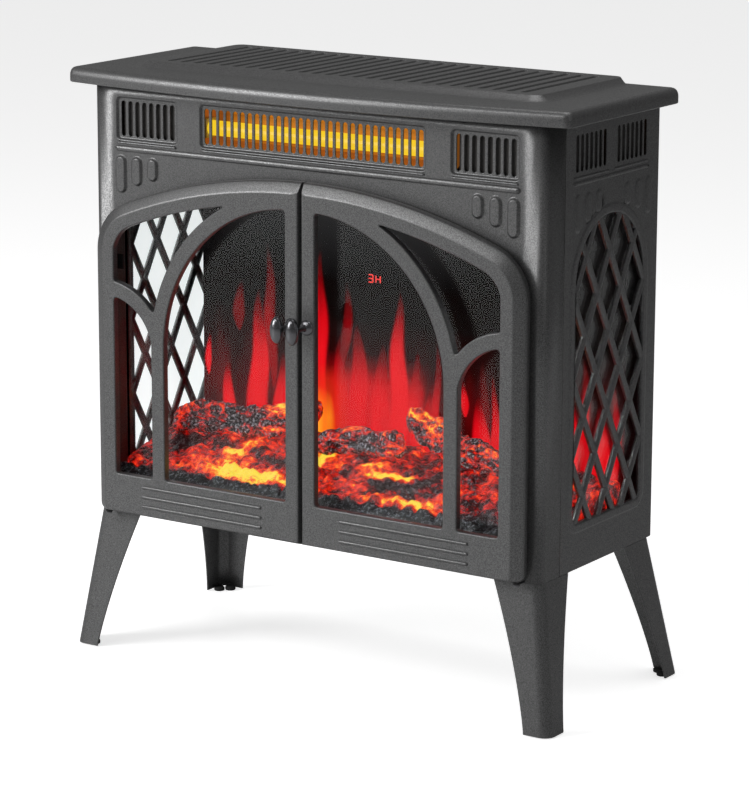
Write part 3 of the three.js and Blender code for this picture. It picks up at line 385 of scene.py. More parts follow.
class Surface:
    """Gathers grids and filled regions, in millimetres, and makes one mesh of them."""

    def __init__(self) -> None:
        """Starts with nothing in it."""
        self._points: list[Array] = []
        self._faces: list[tuple[int, ...]] = []
        self._count = 0

    def add(self, points: Array, faces: Array) -> None:
        """Adds points and faces.

        Args:
            points: Points in millimetres; the last axis holds x, y and z.
            faces: Rows of places in that list, in order.
        """
        self._faces += [tuple(row) for row in (faces + self._count).tolist()]
        self._points.append(points.reshape(-1, 3))
        self._count += len(self._points[-1])

    def grid(self, points: Array, closed: bool = False) -> None:
        """Adds a grid of points as quads.

        Args:
            points: Rows by columns by 3.
            closed: Joins the last column to the first.
        """
        n, m = points.shape[:2]
        i, j = np.meshgrid(np.arange(n - 1), np.arange(m if closed else m - 1), indexing="ij")
        i, j = i.ravel(), j.ravel()
        i2, j2 = i + 1, (j + 1) % m
        self.add(points, np.stack([i * m + j, i2 * m + j, i2 * m + j2, i * m + j2], -1))

    def sweep(self, outline: Array, profile: Sequence[tuple[float, float]], place: Place) -> None:
        """Carries an edge profile round a closed outline.

        Args:
            outline: Counter-clockwise outline.
            profile: Pairs of distance outwards from the outline and height.
            place: Puts flat points and a height in space.
        """
        rings = [place(offset(outline, out), height) for out, height in profile]
        self.grid(np.stack(rings), closed=True)

    def boss(self, outline: Array, profile: Sequence[tuple[float, float]], place: Place) -> Array:
        """Adds a pressed feature: its edge profile and the flat inside the profile's end.

        Args:
            outline: Counter-clockwise outline.
            profile: Pairs of distance outwards from the outline and height.
            place: Puts flat points and a height in space.

        Returns:
            The outline at the profile's start, to be left open in the sheet round it.
        """
        self.sweep(outline, profile, place)
        self.fill([offset(outline, profile[-1][0])], place, profile[-1][1])
        return offset(outline, profile[0][0])

    def fill(self, loops: Sequence[Array], place: Place, height: float = 0.0) -> None:
        """Triangulates the region that lies inside an odd number of the loops.

        Args:
            loops: Closed outlines that don't cross.
            place: Puts flat points and a height in space.
            height: The region's height.
        """
        flat = np.vstack(loops)
        ends, start = [], 0
        for loop in loops:
            k = np.arange(len(loop))
            ends.append(np.stack([start + k, start + (k + 1) % len(loop)], -1))
            start += len(loop)
        middle = flat.mean(0)
        points, _, faces, origins, _, _ = delaunay_2d_cdt(
            [Vector(p) for p in (flat - middle).tolist()], np.vstack(ends).tolist(), [], 0, 1e-5,
        )
        points = np.array([tuple(p) for p in points]) + middle
        known = np.array([len(o) > 0 for o in origins])
        points[known] = flat[[o[0] for o in origins if len(o)]]
        faces = np.array([f for f in faces if len(f) == 3])
        faces = faces[inside(points[faces].mean(1), loops)]
        self.add(place(points, height), faces)

    def build(
        self, name: str, finish: "Finish", crease: float = 42.0, facing: Vector | None = None,
        values: dict[str, Callable[[Array], Array]] | None = None,
    ) -> bpy.types.Object:
        """Makes the mesh object, with doubles merged and faces turned outwards.

        Args:
            name: The piece's name.
            finish: Its finish.
            crease: Angle in degrees above which an edge stays sharp.
            facing: For an open surface, a direction that most faces must look towards.
            values: Named numbers worked out from the points, in millimetres, kept as attributes.

        Returns:
            The new object.
        """
        mesh = bpy.data.meshes.new(name)
        mesh.from_pydata((np.vstack(self._points) * MM).tolist(), [], self._faces)
        work = bmesh.new()
        work.from_mesh(mesh)
        bmesh.ops.remove_doubles(work, verts=work.verts, dist=6e-6)
        bmesh.ops.dissolve_degenerate(work, edges=work.edges, dist=1e-7)
        bmesh.ops.recalc_face_normals(work, faces=work.faces)
        if facing is not None:
            lean = sum((f.normal.dot(facing) * f.calc_area() for f in work.faces), 0.0)
            if lean < 0:
                bmesh.ops.reverse_faces(work, faces=work.faces)
        work.to_mesh(mesh)
        work.free()
        mesh.shade_smooth()
        mesh.set_sharp_from_angle(angle=math.radians(crease))
        points = np.zeros(len(mesh.vertices) * 3)
        mesh.vertices.foreach_get("co", points)
        for key, formula in (values or {}).items():
            layer = mesh.attributes.new(key, "FLOAT", "POINT")
            layer.data.foreach_set("value", formula(points.reshape(-1, 3) / MM).astype(np.float32))
        piece = bpy.data.objects.new(name, mesh)
        bpy.context.scene.collection.objects.link(piece)
        mesh.materials.append(finish.material())
        LOG.info("%s: %d faces", name, len(mesh.polygons))
        return piece


def front_place(plane: float, sign: int = 1) -> Place:
    """Places (u, v) on a plane that faces -Y: x is sign times u, z is v, height stands forward."""
    return lambda p, h: np.stack([sign * p[:, 0], plane - h + 0 * p[:, 0], p[:, 1]], -1)


def side_place(plane: float, sign: int) -> Place:
    """Places (u, v) on a side plane: y is u, z is v, height stands out along x."""
    return lambda p, h: np.stack([sign * (plane + h + 0 * p[:, 0]), p[:, 0], p[:, 1]], -1)


def plan_place(level: float) -> Place:
    """Places (u, v) on a level plane: x is u, y is v, height stands up."""
    return lambda p, h: np.stack([p[:, 0], p[:, 1], level + h + 0 * p[:, 0]], -1)


def solidify(piece: bpy.types.Object, thickness: float) -> None:
    """Gives an open sheet its thickness, inwards from its outer face.

    Args:
        piece: The piece.
        thickness: Thickness in millimetres.
    """
    wall = piece.modifiers.new("sheet", "SOLIDIFY")
    wall.thickness = thickness * MM
    wall.offset = -1


def finish_piece(piece: bpy.types.Object, body: str, slot: str, *nodes: str) -> None:
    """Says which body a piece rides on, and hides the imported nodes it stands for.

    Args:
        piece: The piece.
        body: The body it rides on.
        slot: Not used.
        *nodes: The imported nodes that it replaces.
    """
    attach(piece, body)
    if nodes:
        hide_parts(*nodes)


# ---------------------------------------------------------------- node trees


class Graph:
    """A short way to add and join shader nodes."""

    def __init__(self, tree: bpy.types.NodeTree) -> None:
        """Takes the tree to work in."""
        self.tree = tree

    def node(
        self, kind: str, inputs: dict[str | int, object] | None = None, **settings: object,
    ) -> bpy.types.Node:
        """Adds a node, sets its properties, then sets or links its inputs.

        Args:
            kind: The node's type.
            inputs: Values or outputs for its inputs, by name or place.
            settings: Its properties.

        Returns:
            The node.
        """
        made = self.tree.nodes.new(kind)
        for key, value in settings.items():
            setattr(made, key, value)
        for key, value in (inputs or {}).items():
            if isinstance(value, bpy.types.NodeSocket):
                self.tree.links.new(value, made.inputs[key])
            else:
                made.inputs[key].default_value = value
        return made

    def math(self, operation: str, a: object, b: object = 0.0, clamp: bool = False) -> bpy.types.NodeSocket:
        """Adds a maths node and gives its output."""
        return self.node("ShaderNodeMath", {0: a, 1: b}, operation=operation, use_clamp=clamp).outputs[0]

    def mix(self, factor: object, a: object, b: object) -> bpy.types.NodeSocket:
        """Mixes two colours."""
        made = self.node("ShaderNodeMix", {0: factor, 6: a, 7: b}, data_type="RGBA")
        return made.outputs[2]

    def ramp(self, factor: object, stops: Sequence[tuple[float, Sequence[float]]]) -> bpy.types.NodeSocket:
        """Maps a value to colours through a colour ramp.

        Args:
            factor: The value.
            stops: Places from 0 to 1 with their colours.

        Returns:
            The colour.
        """
        made = self.node("ShaderNodeValToRGB", {0: factor})
        bar = made.color_ramp
        ends = (bar.elements[0], stops[0]), (bar.elements[1], stops[-1])
        for element, (position, colour) in ends:
            element.position = position
            element.color = (*colour, 1.0)
        for position, colour in stops[1:-1]:
            bar.elements.new(position).color = (*colour, 1.0)
        return made.outputs[0]

    def place(self) -> bpy.types.NodeSocket:
        """The object coordinates."""
        return self.node("ShaderNodeTexCoord").outputs["Object"]

    def stretched(self, scale: tuple[float, float, float]) -> bpy.types.NodeSocket:
        """The object coordinates, scaled along each axis."""
        return self.node("ShaderNodeMapping", {"Vector": self.place(), "Scale": scale}).outputs[0]

    def sum(self, a: object, b: object) -> bpy.types.NodeSocket:
        """Adds two colours."""
        made = self.node("ShaderNodeMix", {0: 1.0, 6: a, 7: b}, data_type="RGBA", blend_type="ADD")
        return made.outputs[2]

    def link(self, output: bpy.types.NodeSocket, target: bpy.types.NodeSocket) -> None:
        """Joins an output to an input."""
        self.tree.links.new(output, target)

    def looked_at(self) -> bpy.types.NodeSocket:
        """One where the camera looks at a surface, straight or through glass."""
        path = self.node("ShaderNodeLightPath")
        return self.math("MAXIMUM", path.outputs["Is Camera Ray"], path.outputs["Is Transmission Ray"])

    def noise(
        self, vector: object, scale: float, detail: float = 2.0, rough: float = 0.5,
    ) -> bpy.types.NodeSocket:
        """Adds a noise texture.

        Args:
            vector: Coordinates.
            scale: Cells to the metre.
            detail: Number of finer layers.
            rough: Strength of each finer layer.

        Returns:
            The noise's value.
        """
        return self.node("ShaderNodeTexNoise", {
            "Vector": vector, "Scale": scale, "Detail": detail, "Roughness": rough,
        }).outputs[0]


def group(name: str, ins: dict[str, tuple[str, object]], outs: dict[str, str],
          wire: Callable[[Graph, bpy.types.Node, bpy.types.Node], None]) -> bpy.types.NodeTree:
    """Builds a shader node group once.

    Args:
        name: The group's name.
        ins: Input names with their socket kind and default.
        outs: Output names with their socket kind.
        wire: Adds the nodes between the group's input and output.

    Returns:
        The node group.
    """
    if name in bpy.data.node_groups:
        return bpy.data.node_groups[name]
    tree = bpy.data.node_groups.new(name, "ShaderNodeTree")
    for key, (kind, default) in ins.items():
        socket = tree.interface.new_socket(key, in_out="INPUT", socket_type=kind)
        if default is not None:
            socket.default_value = default
    for key, kind in outs.items():
        tree.interface.new_socket(key, in_out="OUTPUT", socket_type=kind)
    graph = Graph(tree)
    wire(graph, tree.nodes.new("NodeGroupInput"), tree.nodes.new("NodeGroupOutput"))
    return tree


def metallic_grain() -> bpy.types.NodeTree:
    """Textured powder coat: fine flakes, orange-peel height and slow cloudy variation.

    Returns:
        The node group.
    """

    def wire(graph: Graph, given: bpy.types.Node, out: bpy.types.Node) -> None:
        """Adds up flakes and cloud for the shade, and passes the grit on as height.

        Args:
            graph: The finish's nodes.
            given: The group's input node.
            out: The group's output node.
        """
        place = given.outputs["Vector"]
        flakes = graph.noise(place, 950.0, 1.0)
        grit = graph.noise(place, 620.0, 2.0, 0.6)
        cloud = graph.noise(place, 6.0, 3.0)
        spark = graph.math("MULTIPLY", graph.math("SUBTRACT", flakes, 0.5), given.outputs["Sparkle"])
        drift = graph.math("MULTIPLY", graph.math("SUBTRACT", cloud, 0.5), given.outputs["Drift"])
        shade = graph.math("ADD", graph.math("ADD", 0.5, spark), drift, clamp=True)
        graph.link(shade, out.inputs["Shade"])
        graph.link(grit, out.inputs["Height"])

    return group(
        "metallic_grain",
        {"Vector": ("NodeSocketVector", None), "Sparkle": ("NodeSocketFloat", 1.0),
         "Drift": ("NodeSocketFloat", 0.3)},
        {"Shade": "NodeSocketFloat", "Height": "NodeSocketFloat"}, wire,
    )


def settled_dust() -> bpy.types.NodeTree:
    """Mask of faint dust that lies on upward faces, broken up by noise.

    Returns:
        The node group.
    """

    def wire(graph: Graph, given: bpy.types.Node, out: bpy.types.Node) -> None:
        """Multiplies the upward share of the normal by patchy noise.

        Args:
            graph: The finish's nodes.
            given: The group's input node.
            out: The group's output node.
        """
        up = graph.node("ShaderNodeSeparateXYZ", {0: given.outputs["Normal"]}).outputs[2]
        patches = graph.noise(given.outputs["Vector"], 35.0, 4.0, 0.6)
        lying = graph.math("MULTIPLY", graph.math("MAXIMUM", up, 0.0), patches)
        mask = graph.math("MULTIPLY", lying, given.outputs["Amount"], clamp=True)
        graph.link(mask, out.inputs["Mask"])

    return group(
        "settled_dust",
        {"Vector": ("NodeSocketVector", None), "Normal": ("NodeSocketVector", None),
         "Amount": ("NodeSocketFloat", 0.2)},
        {"Mask": "NodeSocketFloat"}, wire,
    )


# ---------------------------------------------------------------- finishes


@dataclass(frozen=True)
class Finish:
    """Base of every finish; a finish is built once and then shared."""

    name: str

    def material(self) -> bpy.types.Material:
        """Gives the finish's material, building it the first time.

        Returns:
            The material.
        """
        if self.name in bpy.data.materials:
            return bpy.data.materials[self.name]
        made = bpy.data.materials.new(self.name)
        made.use_nodes = True
        graph = Graph(made.node_tree)
        self.wire(graph, made.node_tree.nodes["Principled BSDF"])
        return made

    def wire(self, graph: Graph, shader: bpy.types.Node) -> None:
        """Sets the shader up; each finish has its own."""
        raise NotImplementedError


@dataclass(frozen=True)
class CoatedMetal(Finish):
    """Metal under a textured coat with fine metallic flakes."""

    dark: tuple[float, float, float] = (0.058, 0.058, 0.0585)
    light: tuple[float, float, float] = (0.15, 0.15, 0.151)
    metallic: float = 0.55
    roughness: float = 0.38
    relief: float = 0.25
    sparkle: float = 2.2
    drift: float = 0.18
    dust: float = 0.06

    def wire(self, graph: Graph, shader: bpy.types.Node) -> None:
        """Flakes shade the colour and the roughness, and the grit lifts the surface.

        Args:
            graph: The finish's nodes.
            shader: The finish's main shader.
        """
        place = graph.place()
        grain = graph.node("ShaderNodeGroup", node_tree=metallic_grain())
        graph.link(place, grain.inputs["Vector"])
        grain.inputs["Sparkle"].default_value = self.sparkle
        grain.inputs["Drift"].default_value = self.drift
        dust = graph.node("ShaderNodeGroup", node_tree=settled_dust())
        graph.link(place, dust.inputs["Vector"])
        graph.link(graph.node("ShaderNodeNewGeometry").outputs["Normal"], dust.inputs["Normal"])
        dust.inputs["Amount"].default_value = self.dust
        shade = grain.outputs["Shade"]
        colour = graph.mix(shade, (*self.dark, 1), (*self.light, 1))
        colour = graph.mix(dust.outputs["Mask"], colour, (0.3, 0.29, 0.28, 1))
        graph.link(colour, shader.inputs["Base Color"])
        rough = graph.math("ADD", graph.math("MULTIPLY", shade, -0.16), self.roughness + 0.08)
        graph.link(rough, shader.inputs["Roughness"])
        shader.inputs["Metallic"].default_value = self.metallic
        bump = graph.node("ShaderNodeBump", {"Height": grain.outputs["Height"], "Strength": self.relief})
        bump.inputs["Distance"].default_value = 0.00025
        graph.link(bump.outputs[0], shader.inputs["Normal"])


@dataclass(frozen=True)
class Moulded(Finish):
    """Moulded plastic, rubber or ceramic: fine stipple and slight colour drift."""

    colour: tuple[float, float, float] = (0.02, 0.02, 0.021)
    spread: float = 0.35
    roughness: float = 0.5
    stipple: float = 900.0
    relief: float = 0.2

    def wire(self, graph: Graph, shader: bpy.types.Node) -> None:
        """Slow noise drifts the colour, and fine noise makes the stipple.

        Args:
            graph: The finish's nodes.
            shader: The finish's main shader.
        """
        place = graph.place()
        drift = graph.noise(place, 30.0, 4.0)
        low = tuple(c * (1 - self.spread) for c in self.colour)
        high = tuple(c * (1 + self.spread) for c in self.colour)
        graph.link(graph.mix(drift, (*low, 1), (*high, 1)), shader.inputs["Base Color"])
        fine = graph.noise(place, self.stipple, 1.0)
        graph.link(
            graph.math("ADD", graph.math("MULTIPLY", drift, 0.15), self.roughness - 0.07),
            shader.inputs["Roughness"],
        )
        bump = graph.node("ShaderNodeBump", {"Height": fine, "Strength": self.relief, "Distance": 0.0002})
        graph.link(bump.outputs[0], shader.inputs["Normal"])


@dataclass(frozen=True)
class Brushed(Finish):
    """Bare metal with fine scratches along one axis."""

    colour: tuple[float, float, float] = (0.5, 0.5, 0.51)
    roughness: float = 0.3
    stretch: tuple[float, float, float] = (8.0, 900.0, 900.0)
    glow: tuple[float, float, float] = (0.0, 0.0, 0.0)
    power: float = 0.0

    def wire(self, graph: Graph, shader: bpy.types.Node) -> None:
        """Noise stretched along one axis shades the colour and the roughness.

        Args:
            graph: The finish's nodes.
            shader: The finish's main shader.
        """
        spread = graph.stretched(self.stretch)
        lines = graph.noise(spread, 1.0, 2.0)
        dark = tuple(c * 0.75 for c in self.colour)
        graph.link(graph.mix(lines, (*dark, 1), (*self.colour, 1)), shader.inputs["Base Color"])
        rough = graph.math("ADD", graph.math("MULTIPLY", lines, 0.2), self.roughness - 0.1)
        graph.link(rough, shader.inputs["Roughness"])
        shader.inputs["Metallic"].default_value = 1.0
        # Painted glow: where a power is given, an emission tinted by the scratches stands in for light
        # reflected in the metal.
        if self.power > 0:
            tint = graph.mix(lines, (*(c * 0.5 for c in self.glow), 1), (*self.glow, 1))
            graph.link(tint, shader.inputs["Emission Color"])
            shader.inputs["Emission Strength"].default_value = self.power


@dataclass(frozen=True)
class ClearGlass(Finish):
    """Clear glass with a faint smear in its polish."""

    tint: tuple[float, float, float] = (0.93, 0.95, 0.95)

    def wire(self, graph: Graph, shader: bpy.types.Node) -> None:
        """Plain transmission; noise only roughens the surface a little.

        Args:
            graph: The finish's nodes.
            shader: The finish's main shader.
        """
        smear = graph.noise(graph.place(), 14.0, 4.0)
        graph.link(graph.math("MULTIPLY", smear, 0.02), shader.inputs["Roughness"])
        dark = tuple(c * 0.97 for c in self.tint)
        graph.link(graph.mix(smear, (*dark, 1), (*self.tint, 1)), shader.inputs["Base Color"])
        shader.inputs["Transmission Weight"].default_value = 1.0
        shader.inputs["IOR"].default_value = 1.18


@dataclass(frozen=True)
class Glowing(Finish):
    """A body lit from inside, its glow varied by noise."""

    low: tuple[float, float, float] = (0.9, 0.45, 0.02)
    high: tuple[float, float, float] = (1.0, 0.75, 0.05)
    power: float = 1.0
    scale: float = 60.0

    def wire(self, graph: Graph, shader: bpy.types.Node) -> None:
        """Noise picks between the two glow colours.

        Args:
            graph: The finish's nodes.
            shader: The finish's main shader.
        """
        factor = graph.noise(graph.place(), self.scale, 2.0)
        tint = graph.mix(factor, (*self.low, 1), (*self.high, 1))
        graph.link(tint, shader.inputs["Emission Color"])
        graph.link(
            graph.mix(factor, (0.05, 0.02, 0.01, 1), (0.12, 0.05, 0.02, 1)), shader.inputs["Base Color"],
        )
        shader.inputs["Emission Strength"].default_value = self.power
        shader.inputs["Roughness"].default_value = 0.4


@dataclass(frozen=True)
class FlameGlow(Finish):
    """Smoked screen on which the flames play, driven by the heat kept on each point."""

    power: float = 1.0

    def wire(self, graph: Graph, shader: bpy.types.Node) -> None:
        """Heat and fine upright streaks go through a flame-coloured ramp.

        Args:
            graph: The finish's nodes.
            shader: The finish's main shader.
        """
        heat = graph.node("ShaderNodeAttribute", attribute_name="fire_warmth").outputs["Fac"]
        amber = graph.node("ShaderNodeAttribute", attribute_name="amber").outputs["Fac"]
        haze = graph.node("ShaderNodeAttribute", attribute_name="haze").outputs["Fac"]
        spread = graph.stretched((90.0, 1.0, 14.0))
        streak = graph.noise(spread, 1.0, 2.0)
        lively = graph.math("MULTIPLY", heat, graph.math("ADD", graph.math("MULTIPLY", streak, 0.35), 0.82))
        red = graph.ramp(lively, [
            (0.0, (0.0, 0.0, 0.0)), (0.12, (0.012, 0.0, 0.0)), (0.4, (0.16, 0.0, 0.001)),
            (0.75, (0.72, 0.001, 0.006)), (1.0, (0.88, 0.004, 0.01)),
        ])
        gold = graph.ramp(amber, [
            (0.0, (0.0, 0.0, 0.0)), (0.35, (0.05, 0.02, 0.0)), (0.7, (0.3, 0.22, 0.005)),
            (1.0, (0.5, 0.5, 0.02)),
        ])
        # Painted reflection: a faint grey emission high on the screen.
        grey = graph.mix(haze, (0.0, 0.0, 0.0, 1), (0.032, 0.032, 0.033, 1))
        graph.link(graph.sum(graph.sum(red, gold), grey), shader.inputs["Emission Color"])
        smoke = graph.mix(streak, (0.004, 0.003, 0.003, 1), (0.008, 0.006, 0.006, 1))
        graph.link(smoke, shader.inputs["Base Color"])
        shader.inputs["Emission Strength"].default_value = self.power
        shader.inputs["Roughness"].default_value = 0.6
        shader.inputs["Specular IOR Level"].default_value = 0.03


@dataclass(frozen=True)
class EmberGlow(Finish):
    """Charred lumps with ash on their tops, glowing where the heat kept on each point is high."""

    power: float = 1.0
    ash: float = 0.5

    def wire(self, graph: Graph, shader: bpy.types.Node) -> None:
        """Heat broken up by two noises drives the glow; what stays cold is charcoal flecked with ash.

        Args:
            graph: The finish's nodes.
            shader: The finish's main shader.
        """
        place = graph.place()
        heat = graph.node("ShaderNodeAttribute", attribute_name="fire_warmth").outputs["Fac"]
        coarse = graph.noise(place, 55.0, 5.0, 0.62)
        fine = graph.noise(place, 210.0, 4.0, 0.6)
        broken = graph.math("ADD", graph.math("MULTIPLY", graph.math("SUBTRACT", coarse, 0.5), 1.8),
                            graph.math("MULTIPLY", graph.math("SUBTRACT", fine, 0.5), 1.1))
        level = graph.math("ADD", heat, broken, clamp=True)
        glow = graph.ramp(level, [
            (0.0, (0.0, 0.0, 0.0)), (0.3, (0.02, 0.0, 0.0)), (0.5, (0.42, 0.004, 0.002)),
            (0.68, (0.95, 0.03, 0.004)), (0.84, (1.0, 0.2, 0.01)), (1.0, (1.0, 0.72, 0.06)),
        ])
        graph.link(glow, shader.inputs["Emission Color"])
        shader.inputs["Emission Strength"].default_value = self.power
        flecks = graph.ramp(graph.noise(place, 330.0, 5.0, 0.7), [(0.52, (0, 0, 0)), (0.61, (1, 1, 1))])
        cold = graph.math("SUBTRACT", 0.75, level, clamp=True)
        amount = graph.math("MULTIPLY", graph.math("MULTIPLY", flecks, cold), self.ash * 2, clamp=True)
        colour = graph.mix(amount, (0.012, 0.012, 0.014, 1), (0.42, 0.44, 0.5, 1))
        graph.link(colour, shader.inputs["Base Color"])
        shader.inputs["Roughness"].default_value = 0.55
        bump = graph.node("ShaderNodeBump", {"Height": fine, "Strength": 0.8, "Distance": 0.0012})
        graph.link(bump.outputs[0], shader.inputs["Normal"])


@dataclass(frozen=True)
class Groundsheet(Finish):
    """Pale studio floor."""

    colour: tuple[float, float, float] = (0.8, 0.8, 0.8)
    lift: float = 0.7

    def wire(self, graph: Graph, shader: bpy.types.Node) -> None:
        """A nearly even pale sheet.

        Args:
            graph: The finish's nodes.
            shader: The finish's main shader.
        """
        soft = graph.noise(graph.place(), 3.0, 2.0)
        dark = tuple(c * 0.995 for c in self.colour)
        graph.link(graph.mix(soft, (*dark, 1), (*self.colour, 1)), shader.inputs["Base Color"])
        shader.inputs["Roughness"].default_value = 0.35
        shader.inputs["Emission Color"].default_value = (1, 1, 1, 1)
        lift = graph.math("MULTIPLY", graph.looked_at(), self.lift)
        graph.link(lift, shader.inputs["Emission Strength"])


POWDER = CoatedMetal("charcoal_powder_coat")
# Painted shade: a very dark coat for the sheets laid in the mantel's grooves; the baffle is given it too.
GROOVE = CoatedMetal("grille_shadow_coat", dark=(0.018, 0.016, 0.015), light=(0.05, 0.046, 0.043),
                     metallic=0.2, roughness=0.6, sparkle=0.8)
INNER = CoatedMetal("black_sheet_coat", dark=(0.006, 0.006, 0.006), light=(0.02, 0.02, 0.021), metallic=0.3,
                    roughness=0.6, sparkle=0.8)
STEEL = Brushed("bright_steel")
GUNMETAL = CoatedMetal("polished_gunmetal", dark=(0.09, 0.09, 0.095), light=(0.17, 0.17, 0.18), metallic=0.9,
                       roughness=0.24, relief=0.04, sparkle=0.6, dust=0.02)
# Painted reflection: the reflector's amber colour and glow stand in for the glowing heater's light in the
# metal.
REFLECTOR_PAINTED_GLOW = Brushed("reflector_painted_amber_glow", colour=(0.5, 0.24, 0.06), roughness=0.35, glow=(0.4, 0.13, 0.02),
                      power=0.5)
GLASS = ClearGlass("clear_glass")
QUARTZ = Glowing("glowing_quartz", low=(0.85, 0.5, 0.012), high=(1.0, 0.72, 0.03), power=0.95)
CERAMIC = Moulded("unglazed_ceramic", colour=(0.62, 0.58, 0.5), spread=0.08, roughness=0.75)
PLASTIC = Moulded("black_plastic")
RUBBER = Moulded("black_rubber", colour=(0.012, 0.012, 0.012), roughness=0.8, stipple=500.0, relief=0.4)
CIRCUIT = Moulded("circuit_board", colour=(0.015, 0.09, 0.03), spread=0.5, roughness=0.4, stipple=260.0)
SCREEN = FlameGlow("flame_screen_glow")
EMBERS = EmberGlow("glowing_embers", ash=0.35)
CHARRED = EmberGlow("charred_log", ash=0.9)
DIGITS = Glowing("red_digits", low=(0.75, 0.0, 0.0), high=(1.0, 0.01, 0.01), power=1.0)
FLOOR = Groundsheet("pale_floor")


# ---------------------------------------------------------------- mantel


@dataclass
class Mantel:
    """Pressed top with a rolled, bowed rim and a raised grooved panel."""

    half: float = edge("mantel_top", "x", 1)
    rear: float = edge("mantel_top", "y", 1)
    low: float = edge("mantel_top", "z", -1)
    high: float = edge("mantel_top", "z", 1)
    bow: float = 24.0
    corner: float = 10.0
    rim: float = 16.0
    plate_half: float = 240.0
    plate_front: float = -57.75
    plate_rear: float = 113.25
    slope: float = 12.0
    groove_pitch: float = 16.6
    groove_width: float = 7.6
    groove_depth: float = 2.4
    groove_margin: float = 11.0

    def outline(self) -> Array:
        """Plan of the rim: straight sides, an arc across the front, quarter-round corners.

        Returns:
            A counter-clockwise outline.
        """
        front = edge("mantel_top", "y", -1) + self.bow
        chord = self.half - self.corner
        radius = (chord**2 + self.bow**2) / (2 * self.bow)
        swing = math.degrees(math.asin(chord / radius))
        bow = arc(0, front - self.bow + radius, radius, 270 - swing, 270 + swing, 48)
        c, r = self.corner, self.rear
        return np.vstack([
            arc(-chord, front + c, c, 180, 262, 8), bow[1:-1], arc(chord, front + c, c, 278, 360, 8),
            arc(chord, r - c, c, 0, 90, 8), arc(-chord, r - c, c, 90, 180, 8),
        ])

    def raised(self, run: float) -> Array:
        """Outline of the raised panel, run millimetres down its slope."""
        half, front = self.plate_half + run, self.plate_front - run
        return rounded_box(-half, half, front, self.plate_rear, self.corner + run, 8)

    def grooves(self) -> list[Array]:
        """Outlines of the grooves, which run front to back at an even pitch.

        Returns:
            One outline for each groove.
        """
        reach = int((self.plate_half - self.groove_margin) / self.groove_pitch)
        w = self.groove_width / 2
        return [
            rounded_box(x - w, x + w, self.plate_front + self.groove_margin,
                        self.plate_rear - self.groove_margin, w - 0.05, 4)
            for x in np.arange(-reach, reach + 1) * self.groove_pitch
        ]

    def build(self) -> None:
        """Builds the pressed top, and a very dark sheet just above each groove's floor as painted shade."""
        outline, place = self.outline(), plan_place(self.low)
        rim = self.rim
        profile = eased([
            (-3.2, 0.0), (-0.9, 0.0), (0.0, 0.9), (0.0, 8.6), (-1.0, 12.2), (-3.4, 15.0), (-7.2, rim),
            (-9.0, rim),
        ], 1.6, 3)
        shell = Surface()
        shell.sweep(outline, profile, place)
        shell.fill([offset(outline, profile[0][0])], place, 0.0)
        rise = self.high - self.low - rim
        steps = np.linspace(0, 1, 11)
        rings = [(self.slope * (1 - s), rim + rise * s**1.35) for s in steps]
        rings = [(self.slope + 1.5, rim)] + rings[:-1] + [(0.35, rim + rise - 0.12), (-0.6, rim + rise)]
        shell.grid(np.stack([place(self.raised(run), h) for run, h in rings]), closed=True)
        shell.fill([offset(outline, profile[-1][0]), self.raised(rings[0][0])], place, rim)
        depth = self.groove_depth
        edge_profile = eased([(0.8, 0.0), (0.0, 0.0), (-1.1, -depth), (-1.8, -depth)], 0.6)
        top = rim + rise
        shell.fill([self.raised(rings[-1][0])] + [offset(g, 0.8) for g in self.grooves()], place, top)
        # Painted shade: a very dark sheet laid just above each groove's floor stands in for the shade in the
        # grooves.
        floor = Surface()
        for groove in self.grooves():
            shell.sweep(groove, [(o, top + h) for o, h in edge_profile], place)
            shell.fill([offset(groove, edge_profile[-1][0])], place, top - self.groove_depth)
            inner = offset(groove, -0.75)
            floor.fill([inner], place, top - self.groove_depth + 0.12)
        piece = shell.build("mantel_top_pressing", POWDER)
        finish_piece(piece, "casing", "powder_coat", "mantel_top")
        groove_shade = floor.build("mantel_groove_painted_shade", GROOVE, facing=Vector((0, 0, 1)))
        finish_piece(groove_shade, "casing", "powder_coat")


# ---------------------------------------------------------------- doors' outlines, shared with the casing


